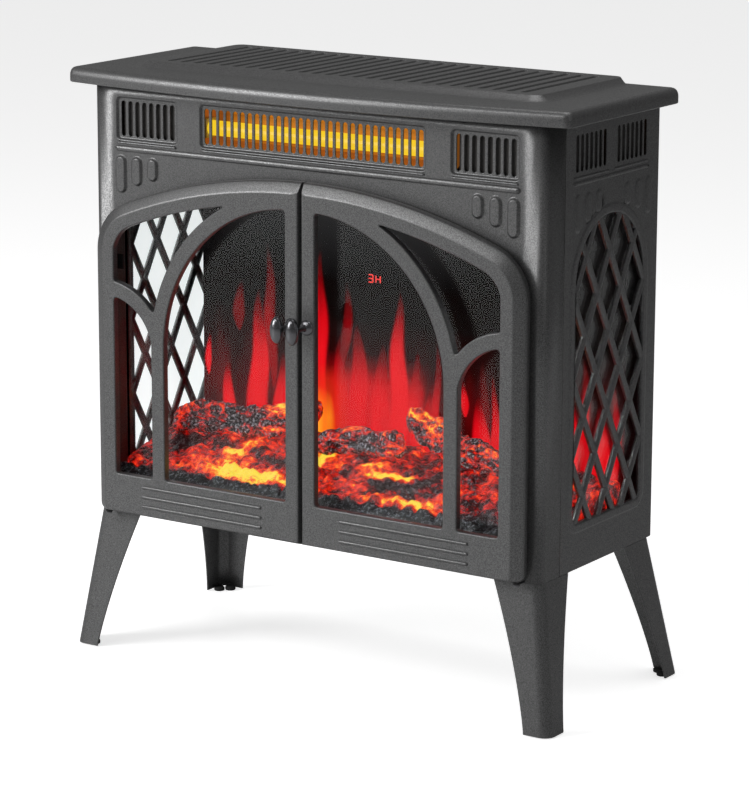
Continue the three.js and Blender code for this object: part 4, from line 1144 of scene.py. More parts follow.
@dataclass
class DoorShape:
    """Outlines of the right door; the left one mirrors them."""

    side: float = edge("right_door", "x", 1)
    low: float = edge("right_door", "z", -1)
    crown: float = 376.5
    arch: float = 620.0
    shoulder: float = 55.0
    foot: float = 8.0
    half_gap: float = 1.2
    stile: float = 26.0
    meeting_stile: float = 16.8
    bottom_rail: float = 44.0
    top_rail: float = 25.0
    bar: float = 16.5
    outer_light: float = 48.0
    window_corner: float = 35.0
    arch_centre: float = 10.0
    arch_drop: float = 28.5
    branch_out: float = 57.5
    branch_drop: float = 9.0
    branch_radius: float = 59.0

    def loop(self, side_in: float, bottom_in: float, meeting_in: float, radius: float,
             meeting: float | None = None) -> Array:
        """Outline of a door, or of what lies inside it.

        The top is an arc about a point on the stove's middle line, the shoulder is an arc that touches
        it and the upright, and the foot is a small arc.

        Args:
            side_in: Distance in from the outer side and the arch.
            bottom_in: Distance up from the bottom.
            meeting_in: Distance in from the meeting edge.
            radius: Shoulder radius.
            meeting: The meeting edge's place, where it isn't the door's own.

        Returns:
            A counter-clockwise outline with a fixed number of points.
        """
        side, bottom = self.side - side_in, self.low + bottom_in
        centre = self.low + self.crown - self.arch
        big = self.arch - side_in
        x = side - radius
        z = centre + math.sqrt((big - radius) ** 2 - x**2)
        lean = math.degrees(math.atan2(z - centre, x))
        start = (self.half_gap if meeting is None else meeting) + meeting_in
        crown = math.degrees(math.acos(start / big))
        foot = max(self.foot - bottom_in, 2.0)
        return np.vstack([
            [[start, bottom]],
            arc(side - foot, bottom + foot, foot, 270, 360, 6),
            arc(x, z, radius, 0, lean, 18),
            arc(0, centre, big, lean, crown, 36)[1:],
        ])

    def lights(self) -> list[Array]:
        """Outlines of the main light, the narrow outer light and the spandrel light, corners rounded.

        Returns:
            The three outlines, in that order.
        """
        outer = self.side - self.stile
        mullion = outer - self.outer_light
        main = mullion - self.bar
        left = self.half_gap + self.meeting_stile
        bottom = self.low + self.bottom_rail
        cx, arch = self.arch_centre, main - self.arch_centre
        cz = self.low + self.crown - self.arch_drop - arch
        top = math.degrees(math.acos((left - cx) / arch))
        first = np.vstack([[[left, bottom], [main, bottom]], arc(cx, cz, arch, 0, top, 40)])
        bx, bz, br = mullion + self.branch_out, cz - self.branch_drop, self.branch_radius
        start = 180 - math.degrees(math.acos((bx - mullion) / br))
        end = math.degrees(math.acos((outer - bx) / br))
        second = np.vstack([[[mullion, bottom], [outer, bottom]], arc(bx, bz, br, end, start, 24)])
        wide, tall = arch + self.bar, br + self.bar
        gap = math.hypot(bx - cx, bz - cz)
        along = (gap**2 + wide**2 - tall**2) / (2 * gap)
        across = math.sqrt(wide**2 - along**2)
        ux, uz = (bx - cx) / gap, (bz - cz) / gap
        meet = (cx + along * ux - across * uz, cz + along * uz + across * ux)
        centre = self.low + self.crown - self.arch
        big = self.arch - self.top_rail
        field = self.loop(self.top_rail, self.bottom_rail, self.meeting_stile, self.window_corner)
        low = bz + math.sqrt(tall**2 - (outer - bx) ** 2)
        rail = field[(field[:, 1] > low) & (np.hypot(field[:, 0] - cx, field[:, 1] - cz) > wide + 0.5)]
        rail = np.minimum(rail, [outer, 1e9])
        gap2 = math.hypot(cx, centre - cz)
        ahead = (gap2**2 + big**2 - wide**2) / (2 * gap2)
        off = math.sqrt(big**2 - ahead**2)
        vx, vz = cx / gap2, (cz - centre) / gap2
        tip = (ahead * vx + off * vz, centre + ahead * vz - off * vx)
        a0 = math.degrees(math.atan2(tip[1] - cz, tip[0] - cx))
        a1 = math.degrees(math.atan2(meet[1] - cz, meet[0] - cx))
        b0 = math.degrees(math.atan2(meet[1] - bz, meet[0] - bx))
        b1 = math.degrees(math.atan2(low - bz, outer - bx))
        third = np.vstack([
            arc(bx, bz, tall, b0, b1, 24), rail[np.argsort(np.arctan2(rail[:, 1] - centre, rail[:, 0]))],
            arc(cx, cz, wide, a0, a1, 36),
        ])
        return [softened(first, 4.0), softened(second, 4.0), softened(third, 3.2)]


DOOR = DoorShape()


# ---------------------------------------------------------------- casing panels


@dataclass
class Relief:
    """Edge profiles shared by the casing's pressed features, as (distance outwards, height)."""

    pocket: float = 2.6
    capsule: float = 2.6

    def slot_lip(self, base: float) -> list[tuple[float, float]]:
        """A slot's edge, turned in softly."""
        return [(0.55, base), (0.4, base), (0.12, base - 0.12), (0.0, base - 0.5), (0.0, base - 1.3)]

    def pocket_wall(self) -> list[tuple[float, float]]:
        """The wall of a recess, round at its top and foot."""
        d = self.pocket
        return eased([(1.8, 0.0), (0.3, 0.0), (-1.6, -d), (-3.2, -d)], 1.0, 4)

    def raised_pad(self, height: float, run: float) -> list[tuple[float, float]]:
        """A pad that rises with a dished foot and a round shoulder."""
        return eased([(2.2, 0.0), (0.4, 0.0), (-run, height), (-run - 1.6, height)], 1.4, 4)

    def half_round(self, reach: float, proud: float, foot: float) -> list[tuple[float, float]]:
        """A rib's side: a quarter ellipse, reach wide and proud tall, from a foot outside it.

        Args:
            reach: Half the rib's width.
            proud: The rib's height.
            foot: Width of the flat foot outside the rib.

        Returns:
            The edge profile.
        """
        turns = np.linspace(0, math.pi / 2, 6)
        rise = [(-reach * (1 - math.cos(t)) * 0.98, proud * math.sin(t)) for t in turns]
        return [(foot, 0.0), *rise]


@dataclass
class FrontPanel:
    """Front panel with the heater grille, two vents, ribs, capsules and the fire opening."""

    relief: Relief = field(default_factory=Relief)
    corner: float = 10.0
    pitch: float = 9.0
    slot_width: float = 5.6
    slot_low: float = 557.0
    slot_high: float = 594.0
    heater_slots: int = 30
    vent_slots: int = 8
    heater_half: float = 137.5
    vent_middle: float = 206.0
    vent_half: float = 39.2
    rib_low: float = 541.2
    rib_high: float = 547.7
    rib_end: float = 246.5
    rib_proud: float = 2.6
    thin_rib_proud: float = 1.3
    capsule_top: float = 536.7
    capsule_width: float = 13.5
    capsules: tuple[tuple[float, float], ...] = ((239.5, 39.5), (219.0, 30.5), (198.5, 24.0))
    opening_side: float = 17.0
    opening_low: float = 30.0

    def slots(self, count: int, middle: float) -> list[Array]:
        """Outlines of one row of upright slots."""
        places = middle + (np.arange(count) - (count - 1) / 2) * self.pitch
        return [upright_slot(x, self.slot_low, self.slot_high, self.slot_width) for x in places]

    def opening(self) -> Array:
        """Outline of the fire opening: the right half and its mirror image.

        Returns:
            A counter-clockwise outline.
        """
        half = DOOR.loop(self.opening_side, self.opening_low, 0.0, DOOR.shoulder - self.opening_side, 0.0)
        mirrored = half[1:-1][::-1] * [-1, 1]
        return without_doubles(np.vstack([half, mirrored]))

    def build(self) -> None:
        """Builds the pressed sheet: flat field, recesses, slots, ribs, pads and the turned corners."""
        sheet, place = Surface(), front_place(CASE.front)
        flat = CASE.half - self.corner
        border = np.array([[-flat, CASE.bottom], [flat, CASE.bottom], [flat, CASE.top], [-flat, CASE.top]])
        holes: list[Array] = []
        groups = [
            (self.heater_slots, 0.0, self.heater_half), (self.vent_slots, -self.vent_middle, self.vent_half),
            (self.vent_slots, self.vent_middle, self.vent_half),
        ]
        wall, floor = self.relief.pocket_wall(), -self.relief.pocket
        lip = self.relief.slot_lip(floor)
        for count, middle, half in groups:
            slots = self.slots(count, middle)
            low, high = self.slot_low - 3.6, self.slot_high + 4.4
            pocket = rounded_box(middle - half, middle + half, low, high, 5.0, 6)
            sheet.sweep(pocket, wall, place)
            holes.append(offset(pocket, wall[0][0]))
            open_slots = [offset(slot, lip[0][0]) for slot in slots]
            sheet.fill([offset(pocket, wall[-1][0]), *open_slots], place, floor)
            for slot in slots:
                sheet.sweep(slot, lip, place)
        ribs = [(0.0, self.rib_end, self.rib_low, self.rib_high, self.rib_proud)]
        ribs += [
            (middle, half - 1.0, self.slot_low - 7.8, self.slot_low - 5.4, self.thin_rib_proud)
            for _, middle, half in groups
        ]
        for middle, half, z0, z1, proud in ribs:
            rib = rounded_box(middle - half, middle + half, z0, z1, (z1 - z0) / 2 - 0.02, 5)
            holes.append(sheet.boss(rib, self.relief.half_round((z1 - z0) / 2, proud, 0.25), place))
        pad = self.relief.raised_pad(self.relief.capsule, 1.9)
        for side, (x, length) in product(Side, self.capsules):
            top = self.capsule_top
            capsule = upright_slot(side.value * x, top - length, top, self.capsule_width, 12)
            holes.append(sheet.boss(capsule, pad, place))
        opening = self.opening()
        lip = [(1.4, 0.0), (0.5, 0.0), (0.1, -0.2), (0.0, -0.6)]
        sheet.sweep(opening, lip, place)
        sheet.fill([border, offset(opening, lip[0][0])] + holes, place)
        for sign in (-1, 1):
            bend = arc(flat, CASE.front + self.corner, self.corner, 270, 360, 12)
            plan = np.vstack([[[flat, CASE.front]], bend[1:], [[CASE.half, CASE.front + self.corner + 1.5]],
                              [[CASE.half, CASE.seam - 0.6]], [[CASE.half - 0.5, CASE.seam]]])
            levels = [CASE.bottom, CASE.top]
            sheet.grid(np.stack([
                np.stack([sign * plan[:, 0], plan[:, 1], np.full(len(plan), z)], -1) for z in levels
            ]))
        piece = sheet.build("front_panel_pressing", POWDER, facing=Vector((0, -1, 0)))
        solidify(piece, 1.0)
        finish_piece(piece, "casing", "powder_coat", "front_panel")


@dataclass
class SidePanel:
    """Side panel with two vents, ribs, capsules and an arched window filled with a lattice."""

    side: Side
    window_half: float = 68.75
    window_low: float = 200.0
    window_spring: float = 439.25
    wide: float = 47.0
    tall: float = 82.0
    bar: float = 7.4
    crossing: float = 389.5
    ridge: float = 1.7
    slots_per_vent: int = 7
    vent_spread: float = 41.0
    pitch: float = 9.0
    slot_low: float = 557.0
    slot_high: float = 594.0
    slot_width: float = 5.6
    foot_corner: float = 8.0
    seam_gap: float = 0.2
    outer_corner: float = 1.8
    rib_proud: float = 1.0
    ribs: tuple[tuple[float, float, float, float], ...] = (
        (-76.0, 76.0, 543.6, 547.8), (-74.0, -6.0, 549.8, 552.6), (6.0, 74.0, 549.8, 552.6),
    )
    capsule_top: float = 535.0
    capsule_width: float = 11.5
    capsule_proud: float = 1.1
    capsules: tuple[tuple[float, float], ...] = (
        (-66.0, 38.0), (-45.5, 30.0), (-25.0, 23.0), (33.5, 23.0), (55.5, 30.0), (76.0, 38.0),
    )

    def window(self) -> Array:
        """Outline of the window: round foot corners, upright sides and a half-circle head.

        Returns:
            A counter-clockwise outline.
        """
        m, h, c = CASE.side_middle, self.window_half, self.foot_corner
        foot = self.window_low + c
        return np.vstack([
            arc(m - h + c, foot, c, 180, 270, 5), arc(m + h - c, foot, c, 270, 360, 5),
            arc(m, self.window_spring, h, 0, 180, 48),
        ])

    def clipped(self, shape: Array, keep: Array) -> Array:
        """Cuts a convex shape by a convex counter-clockwise outline, one edge at a time.

        Args:
            shape: The shape to cut.
            keep: The outline to cut it by.

        Returns:
            What is left of the shape.
        """
        for a, b in zip(keep, np.roll(keep, -1, 0)):
            if len(shape) < 3:
                return shape
            out = (b[0] - a[0]) * (shape[:, 1] - a[1]) - (b[1] - a[1]) * (shape[:, 0] - a[0])
            new = []
            for k in range(len(shape)):
                p, q, dp, dq = shape[k - 1], shape[k], out[k - 1], out[k]
                if (dp >= 0) != (dq >= 0):
                    new.append(p + (q - p) * dp / (dp - dq))
                if dq >= 0:
                    new.append(q)
            shape = np.array(new)
        return shape

    def diamonds(self) -> list[Array]:
        """Clear openings between the bars, cut to the window and with rounded corners.

        Returns:
            One outline for each opening.
        """
        keep = offset(self.window(), -0.5)
        a, b = self.wide / 2, self.tall / 2
        scale = 1 - self.bar / 2 * math.hypot(a, b) / (a * b)
        rhombus = np.array([[0, -b], [a, 0], [0, b], [-a, 0]]) * scale
        found = []
        for i, j in product(range(-5, 6), range(-7, 5)):
            centre = np.array([CASE.side_middle + i * a, self.crossing + j * b])
            if (i + j) % 2 == 0:
                continue
            shape = self.clipped(rhombus + centre, keep)
            if len(shape) > 2 and area(shape) > 30:
                t = np.linspace(0, 1, 9)[:-1, None]
                dense = np.vstack([p + (q - p) * t for p, q in zip(shape, np.roll(shape, -1, 0))])
                found.append(softened(dense, 1.6, 3, 25.0))
        return found

    def bar_distance(self, points: Array) -> Array:
        """Distance from each point to the nearest bar's middle line.

        Args:
            points: Flat points.

        Returns:
            One distance for each point.
        """
        length = math.hypot(self.wide, self.tall)
        spacing = self.wide * self.tall / length
        best = np.full(len(points), 1e9)
        for lean in (-1, 1):
            across = ((points[:, 0] - CASE.side_middle) * self.tall
                      - lean * (points[:, 1] - self.crossing) * self.wide) / length
            best = np.minimum(best, np.abs((across + spacing / 2) % spacing - spacing / 2))
        return best

    def bar_lines(self) -> list[tuple[Array, Array]]:
        """Lines along the bars, at their middles and part-way to their edges.

        Returns:
            The two ends of each line.
        """
        lines = []
        length = math.hypot(self.wide, self.tall)
        for lean, i, shift in product((-1, 1), range(-9, 10), (-0.55, -0.2, 0.2, 0.55)):
            step = shift * self.bar / 2 * length / self.tall
            reach = 330.0
            foot = np.array([CASE.side_middle + i * self.wide + step, self.crossing])
            way = np.array([lean * self.wide, self.tall]) / length
            lines.append((foot - way * reach, foot + way * reach))
        return lines

    def lattice(self, sheet: Surface, place: Place) -> None:
        """Fills the window with ridged bars.

        Their height falls off with the square of the distance from a bar's middle line.

        Args:
            sheet: The panel's surface.
            place: Puts flat points and a height in space.
        """
        window, holes = self.window(), self.diamonds()
        keep = offset(window, -0.01)
        loops = [window] + holes
        flat, ends, start = [], [], 0
        for loop in loops:
            k = np.arange(len(loop))
            ends.append(np.stack([start + k, start + (k + 1) % len(loop)], -1))
            flat.append(loop)
            start += len(loop)
        for low, high in self.bar_lines():
            cut = self.cut_line(low, high, keep)
            if cut is not None:
                flat.append(cut)
                ends.append(np.array([[start, start + 1]]))
                start += 2
        points = np.vstack(flat)
        middle = points.mean(0)
        near = [Vector(p) for p in (points - middle).tolist()]
        made = delaunay_2d_cdt(near, np.vstack(ends).tolist(), [], 0, 1e-4)
        points = np.array([tuple(p) for p in made[0]]) + middle
        faces = np.array([f for f in made[2] if len(f) == 3])
        faces = faces[inside(points[faces].mean(1), loops)]
        away = np.min(np.linalg.norm(points[:, None] - window[None], axis=2), axis=1)
        height = self.ridge * np.clip(1 - (self.bar_distance(points) / (self.bar / 2)) ** 2, 0, 1)
        height = height * np.clip(away / 5.0, 0, 1)
        sheet.add(place(points, height), faces)
        for hole in holes:
            sheet.sweep(hole, [(0.0, 0.0), (-0.12, -0.5), (-0.12, -3.4)], place)

    def cut_line(self, low: Array, high: Array, keep: Array) -> Array | None:
        """Part of a line that lies within a convex outline.

        Args:
            low: One end of the line.
            high: Its other end.
            keep: The outline.

        Returns:
            The ends of the part, or None where nothing is left.
        """
        t0, t1 = 0.0, 1.0
        way = high - low
        for a, b in zip(keep, np.roll(keep, -1, 0)):
            side = (b[0] - a[0]) * (low[1] - a[1]) - (b[1] - a[1]) * (low[0] - a[0])
            rate = (b[0] - a[0]) * way[1] - (b[1] - a[1]) * way[0]
            if abs(rate) < 1e-9:
                if side < 0:
                    return None
            elif rate > 0:
                t0 = max(t0, -side / rate)
            else:
                t1 = min(t1, -side / rate)
        return np.array([low + way * t0, low + way * t1]) if t1 - t0 > 1e-3 else None

    def build(self) -> None:
        """Builds the panel and its lattice."""
        sheet, place = Surface(), side_place(CASE.half, self.side.value)
        m = CASE.side_middle
        y0, y1 = CASE.seam + self.seam_gap, CASE.rear
        outer = rounded_box(y0, y1, CASE.bottom, CASE.top, self.outer_corner, 3)
        holes = []
        edge_lip = [(0.0, -0.5), (-0.12, -0.12), (-0.5, 0.0), (-1.2, 0.0)]
        sheet.sweep(outer, edge_lip, place)
        relief = Relief()
        lip = relief.slot_lip(0.0)
        spread = (np.arange(self.slots_per_vent) - (self.slots_per_vent - 1) / 2) * self.pitch
        for vent, step in product((-self.vent_spread, self.vent_spread), spread):
            slot = upright_slot(m + vent + step, self.slot_low, self.slot_high, self.slot_width)
            sheet.sweep(slot, lip, place)
            holes.append(offset(slot, lip[0][0]))
        for u0, u1, z0, z1 in self.ribs:
            rib = rounded_box(m + u0, m + u1, z0, z1, (z1 - z0) / 2 - 0.02, 5)
            holes.append(sheet.boss(rib, relief.half_round((z1 - z0) / 2, self.rib_proud, 0.3), place))
        pad = relief.raised_pad(self.capsule_proud, 1.7)
        for u, length in self.capsules:
            top = self.capsule_top
            capsule = upright_slot(m + u, top - length, top, self.capsule_width, 10)
            holes.append(sheet.boss(capsule, pad, place))
        window = self.window()
        border = eased([(11.5, 0.0), (9.8, 0.0), (8.0, 1.0), (1.6, 1.0), (0.6, 0.55), (0.0, 0.0)], 0.9, 3)
        sheet.sweep(window, border, place)
        self.lattice(sheet, place)
        sheet.fill([offset(outer, edge_lip[-1][0]), offset(window, border[0][0])] + holes, place)
        piece = sheet.build(f"{self.side.word}_side_pressing", POWDER, facing=Vector((self.side.value, 0, 0)))
        solidify(piece, 1.0)
        finish_piece(piece, "casing", "powder_coat", f"{self.side.word}_side_panel")


# ---------------------------------------------------------------- legs


@dataclass
class Leg:
    """A splayed leg of bent sheet: an L in plan, its edges curving in towards the foot."""

    side: Side
    end: int
    height: float = 152.2
    foot_width: float = 30.0
    top_width: float = 55.0
    taper: float = 1.55
    sheet: float = 2.0
    corner: float = 12.0
    side_splay: float = 22.5
    front_splay: float = 18.0
    rear_splay: float = 28.5

    @property
    def splay(self) -> float:
        """How far the foot stands out past the casing, front or rear."""
        return self.front_splay if self.end < 0 else self.rear_splay

    def section(self, level: float) -> Array:
        """Plan outline at one height, from 0 at the floor to 1 at the casing.

        Args:
            level: The height.

        Returns:
            The outline, in x and y.
        """
        sx, sy = self.side.value, self.end
        x = sx * (CASE.half + self.side_splay * (1 - level))
        y = (CASE.front if sy < 0 else CASE.rear) + sy * self.splay * (1 - level)
        w = self.foot_width + (self.top_width - self.foot_width) * level**self.taper
        c, t = self.corner, self.sheet
        tip = [[w - 0.5, 0.0], [w, 0.5], [w, t - 0.4], [w - 0.4, t]]
        local = np.vstack([
            arc(c, c, c, 180, 270, 10), tip, arc(c, c, c - t, 270, 180, 10),
            [[t, w - 0.4], [t - 0.4, w], [0.5, w], [0.0, w - 0.5]],
        ])
        return np.stack([x - sx * local[:, 0], y - sy * local[:, 1]], -1)

    def build(self) -> None:
        """Lofts the sections, which narrow by a power of the height, and caps both ends."""
        shell = Surface()
        levels = np.linspace(0, 1, 29)
        base = 1.0
        rings = [plan_place(base + (self.height - base) * s)(self.section(s), 0.0) for s in levels]
        shell.grid(np.stack(rings), closed=True)
        for s in (0.0, 1.0):
            shell.fill([self.section(s)], plan_place(base + (self.height - base) * s))
        name = f"{'front' if self.end < 0 else 'rear'}_{self.side.word}_leg"
        piece = shell.build(f"{name}_pressing", POWDER)
        finish_piece(piece, "casing", "powder_coat", name)


@dataclass
class FootPad:
    """Rubber pad in a leg's foot: two round lobes that show a little past the leg's inside."""

    side: Side
    end: int
    lobe: float = 6.0
    tall: float = 4.2

    def build(self) -> None:
        """Builds the two lobes as short turned discs with soft upper edges."""
        name = f"{'front' if self.end < 0 else 'rear'}_{self.side.word}_foot"
        (x0, y0, low), (x1, y1, _) = (np.array(p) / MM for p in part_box(name))
        outer_x, outer_y = (x1 if self.side.value > 0 else x0), (y1 if self.end > 0 else y0)
        shell = Surface()
        for u, v in ((1.1, 2.6), (2.6, 1.1)):
            cx, cy = outer_x - self.side.value * u * self.lobe, outer_y - self.end * v * self.lobe
            disc = arc(cx, cy, self.lobe, 0, 360, 32)[:-1]
            profile = eased([(-0.6, 0.0), (0.0, 0.6), (0.0, self.tall - 0.8), (-0.9, self.tall)], 0.4)
            shell.sweep(disc, profile, plan_place(low))
            shell.fill([offset(disc, -0.6)], plan_place(low), 0.0)
            shell.fill([offset(disc, -0.9)], plan_place(low), self.tall)
        piece = shell.build(f"{name}_pad", RUBBER)
        finish_piece(piece, "casing", "rubber", name)


# ---------------------------------------------------------------- doors


@dataclass
class Door:
    """One arched door: bevelled frame, curved bars, ribs and a knob."""

    side: Side
    skin: float = 8.0
    rib_drops: tuple[float, ...] = (9.2, 19.6, 30.0)
    rib_start: float = 48.0
    rib_end: float = 203.0
    rib_tall: float = 3.7
    rib_proud: float = 1.7
    knob_height: float = 230.0
    knob_reach: float = 26.3
    knob_half: tuple[float, float, float] = (7.5, 6.5, 14.0)

    def rings(self) -> list[tuple[Array, float]]:
        """The door's outer edge as outlines with their heights behind the face.

        Returns:
            Pairs of outline and height.
        """
        depth = CASE.door_depth

        def ring(side_in: float, bottom_in: float, meeting_in: float, back: float) -> tuple[Array, float]:
            """One outline of the edge, set back behind the face."""
            return DOOR.loop(side_in, bottom_in, meeting_in, DOOR.shoulder - side_in), -back

        return [
            ring(13.0, 4.4, 4.0, 0.0), ring(12.2, 3.6, 3.2, 0.0), ring(11.3, 2.8, 2.4, 0.14),
            ring(10.5, 2.1, 1.8, 0.5), ring(9.6, 1.6, 1.3, 1.0), ring(5.4, 0.9, 0.7, 3.5),
            ring(1.5, 0.3, 0.25, 5.9), ring(0.6, 0.1, 0.1, 6.6),
            ring(0.12, 0.0, 0.0, 7.4), ring(0.0, 0.0, 0.0, 8.6), ring(0.0, 0.0, 0.0, depth - 4.0),
            ring(0.6, 0.0, 0.0, depth - 3.2), ring(4.0, 0.0, 0.0, depth), ring(7.0, 3.0, 3.0, depth),
            ring(7.0, 3.0, 3.0, self.skin),
        ]

    def build(self) -> None:
        """Builds the frame, its windows and ribs, then the knob."""
        shell, place = Surface(), front_place(CASE.door_face, self.side.value)
        rings = self.rings()
        shell.grid(np.stack([place(outline, height) for outline, height in rings]), closed=True)
        lights = DOOR.lights()
        lip = eased([(2.4, 0.0), (0.9, 0.0), (0.0, -1.0), (0.0, -self.skin + 0.4), (0.4, -self.skin)], 1.1, 4)
        holes = []
        for light in lights:
            shell.sweep(light, lip, place)
            holes.append(offset(light, lip[0][0]))
        side = Relief().half_round(1.8, self.rib_proud, 0.5)
        for drop in self.rib_drops:
            top = DOOR.low + DOOR.bottom_rail - drop
            rib = rounded_box(self.rib_start, self.rib_end, top - self.rib_tall, top, 1.8, 5)
            holes.append(shell.boss(rib, side, place))
        shell.fill([rings[0][0]] + holes, place, 0.0)
        shell.fill([rings[-1][0]] + [offset(light, lip[-1][0]) for light in lights], place, -self.skin)
        word = self.side.word
        piece = shell.build(f"{word}_door_frame", POWDER)
        finish_piece(piece, f"{word}_door", "powder_coat", f"{word}_door")
        self.knob()

    def knob(self) -> None:
        """Turns the knob's base and stem about its axis, and its oval head about an upright axis.

        The head is an ellipsoid: half width, depth and height times the unit sphere.
        """
        x = self.side.value * (DOOR.half_gap + DOOR.meeting_stile / 2 - 0.2)
        z = DOOR.low + self.knob_height
        face = CASE.door_face
        stem = eased([
            (0.0, 0.3), (7.9, 0.3), (8.0, 1.0), (6.6, 3.0), (3.4, 4.6), (2.6, 7.0), (2.5, 19.0), (3.4, 22.0),
            (3.2, 26.0), (0.0, 27.0),
        ], 0.9, 3)
        turn = np.linspace(0, 2 * np.pi, 41)[:-1]
        shape = Surface()
        radius, out = np.array(stem).T
        radius = np.maximum(radius, 1e-3)
        wide = radius[:, None]
        shape.grid(np.stack([
            x + wide * np.cos(turn), face - out[:, None] + 0 * turn, z + wide * np.sin(turn),
        ], -1), closed=True)
        tilt = np.linspace(0, np.pi, 25)[:, None]
        ring = np.maximum(np.sin(tilt), 1e-4)
        half_x, half_y, half_z = self.knob_half
        shape.grid(np.stack([
            x + half_x * ring * np.cos(turn), face - self.knob_reach + half_y * ring * np.sin(turn),
            z + half_z * np.cos(tilt) + 0 * turn,
        ], -1), closed=True)
        word = self.side.word
        piece = shape.build(f"{word}_turned_knob", GUNMETAL, crease=60.0)
        finish_piece(piece, f"{word}_door", "knob_metal", f"{word}_door_knob")


# ---------------------------------------------------------------- fire


@dataclass(frozen=True)
class Patch:
    """A soft oval patch of heat, or of cold where its strength is negative.

    Its two coordinates are x and the distance back from the bed's front edge, or on a log x and z.
    """

    u: float
    v: float
    wide: float
    tall: float
    strength: float
    tilt: float = 0.0

    def at(self, u: Array, v: Array) -> Array:
        """Strength times e to the minus squared distance, in the oval's own widths.

        Args:
            u: First coordinates.
            v: Second coordinates.

        Returns:
            Heat at each point.
        """
        c, s = math.cos(math.radians(self.tilt)), math.sin(math.radians(self.tilt))
        along = ((u - self.u) * c + (v - self.v) * s) / self.wide
        across = (-(u - self.u) * s + (v - self.v) * c) / self.tall
        return self.strength * np.exp(-(along**2 + across**2))


@dataclass
class EmberBed:
    """Moulded bed of embers: a crust of lumps that rises to the rear over a skirt."""

    step: float = 1.6
    lump: float = 15.0
    patches: tuple[Patch, ...] = (
        Patch(-148, 79, 9, 26, 0.75), Patch(-178, 44, 20, 18, 0.3), Patch(-99, 24, 46, 15, 0.85),
        Patch(-134, 43, 26, 17, 0.3), Patch(-52, 83, 8, 34, 1.0), Patch(-40, 92, 14, 10, 0.35),
        Patch(48, 71, 30, 8, 0.95), Patch(10, 86, 20, 8, 0.45), Patch(100, 22, 44, 9, 0.8),
        Patch(135, 57, 10, 18, 0.45), Patch(-121, 91, 12, 12, 0.25), Patch(6, 49, 30, 16, 0.12),
        Patch(-223, 76, 16, 28, -0.35), Patch(52, 53, 21, 9, -0.6), Patch(87, 63, 12, 22, -0.6),
        Patch(186, 13, 22, 14, -0.5), Patch(215, 60, 30, 14, 0.3), Patch(-20, 22, 26, 8, 0.25),
    )

    def warmth(self, points: Array) -> Array:
        """Even warmth plus every patch, gone cold at the tray's front rim.

        Args:
            points: Points in millimetres, as rows of x, y and z.

        Returns:
            Heat at each point.
        """
        back = points[:, 1] - edge("ember_bed", "y", -1)
        warm = 0.4 + sum(patch.at(points[:, 0], back) for patch in self.patches)
        rim = np.clip((back - 4.0) / 7.0, 0, 1)
        return warm * rim - (1 - rim) * 1.2

    def height(self, x: Array, y: Array) -> Array:
        """Height of the crust: a slope, two sets of cracked lumps and fine noise.

        Args:
            x: Places along the bed.
            y: Places from front to back.

        Returns:
            The height at each place.
        """
        low, high = edge("ember_bed", "z", -1), edge("ember_bed", "z", 1)
        front, rear = edge("ember_bed", "y", -1), edge("ember_bed", "y", 1)
        share = (y - front) / (rear - front)
        flat = np.stack([x, y, 0 * x], -1)
        big = np.minimum(crack_distance(flat / (self.lump * 1.9), 5) * 2.4, 1.0)
        small = np.minimum(crack_distance(flat / self.lump + 7.3, 9) * 2.6, 1.0)
        rough = layered_noise(flat / 9.0, 3, 3)
        crust = 5.2 * big + 3.2 * small + 1.3 * rough
        slope = high - 34 + 24 * np.clip(share * 1.7, 0, 1) ** 0.8
        rim = np.clip(share / 0.045, 0, 1) ** 0.7
        return np.clip((slope + crust) * rim + (high - 33.5) * (1 - rim), low + 20, high + 2)

    def build(self) -> None:
        """Builds the crust, the skirt round it and the underside as one closed piece."""
        (x0, y0, low), (x1, y1, _) = (np.array(p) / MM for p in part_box("ember_bed"))
        x = np.linspace(x0, x1, int((x1 - x0) / self.step))
        y = np.linspace(y0, y1, int((y1 - y0) / self.step))
        gx, gy = np.meshgrid(x, y)
        top = np.stack([gx, gy, self.height(gx, gy)], -1)
        border = np.vstack([top[0], top[1:, -1], top[-1, -2::-1], top[-2:0:-1, 0]])
        shell = Surface()
        shell.grid(top)
        foot = border.copy()
        foot[:, 2] = low
        shell.grid(np.stack([border, foot]), closed=True)
        shell.fill([foot[:, :2]], plan_place(low))
        piece = shell.build("ember_bed_moulding", EMBERS, crease=60.0, values={"fire_warmth": self.warmth})
        finish_piece(piece, "casing", "embers", "ember_bed")


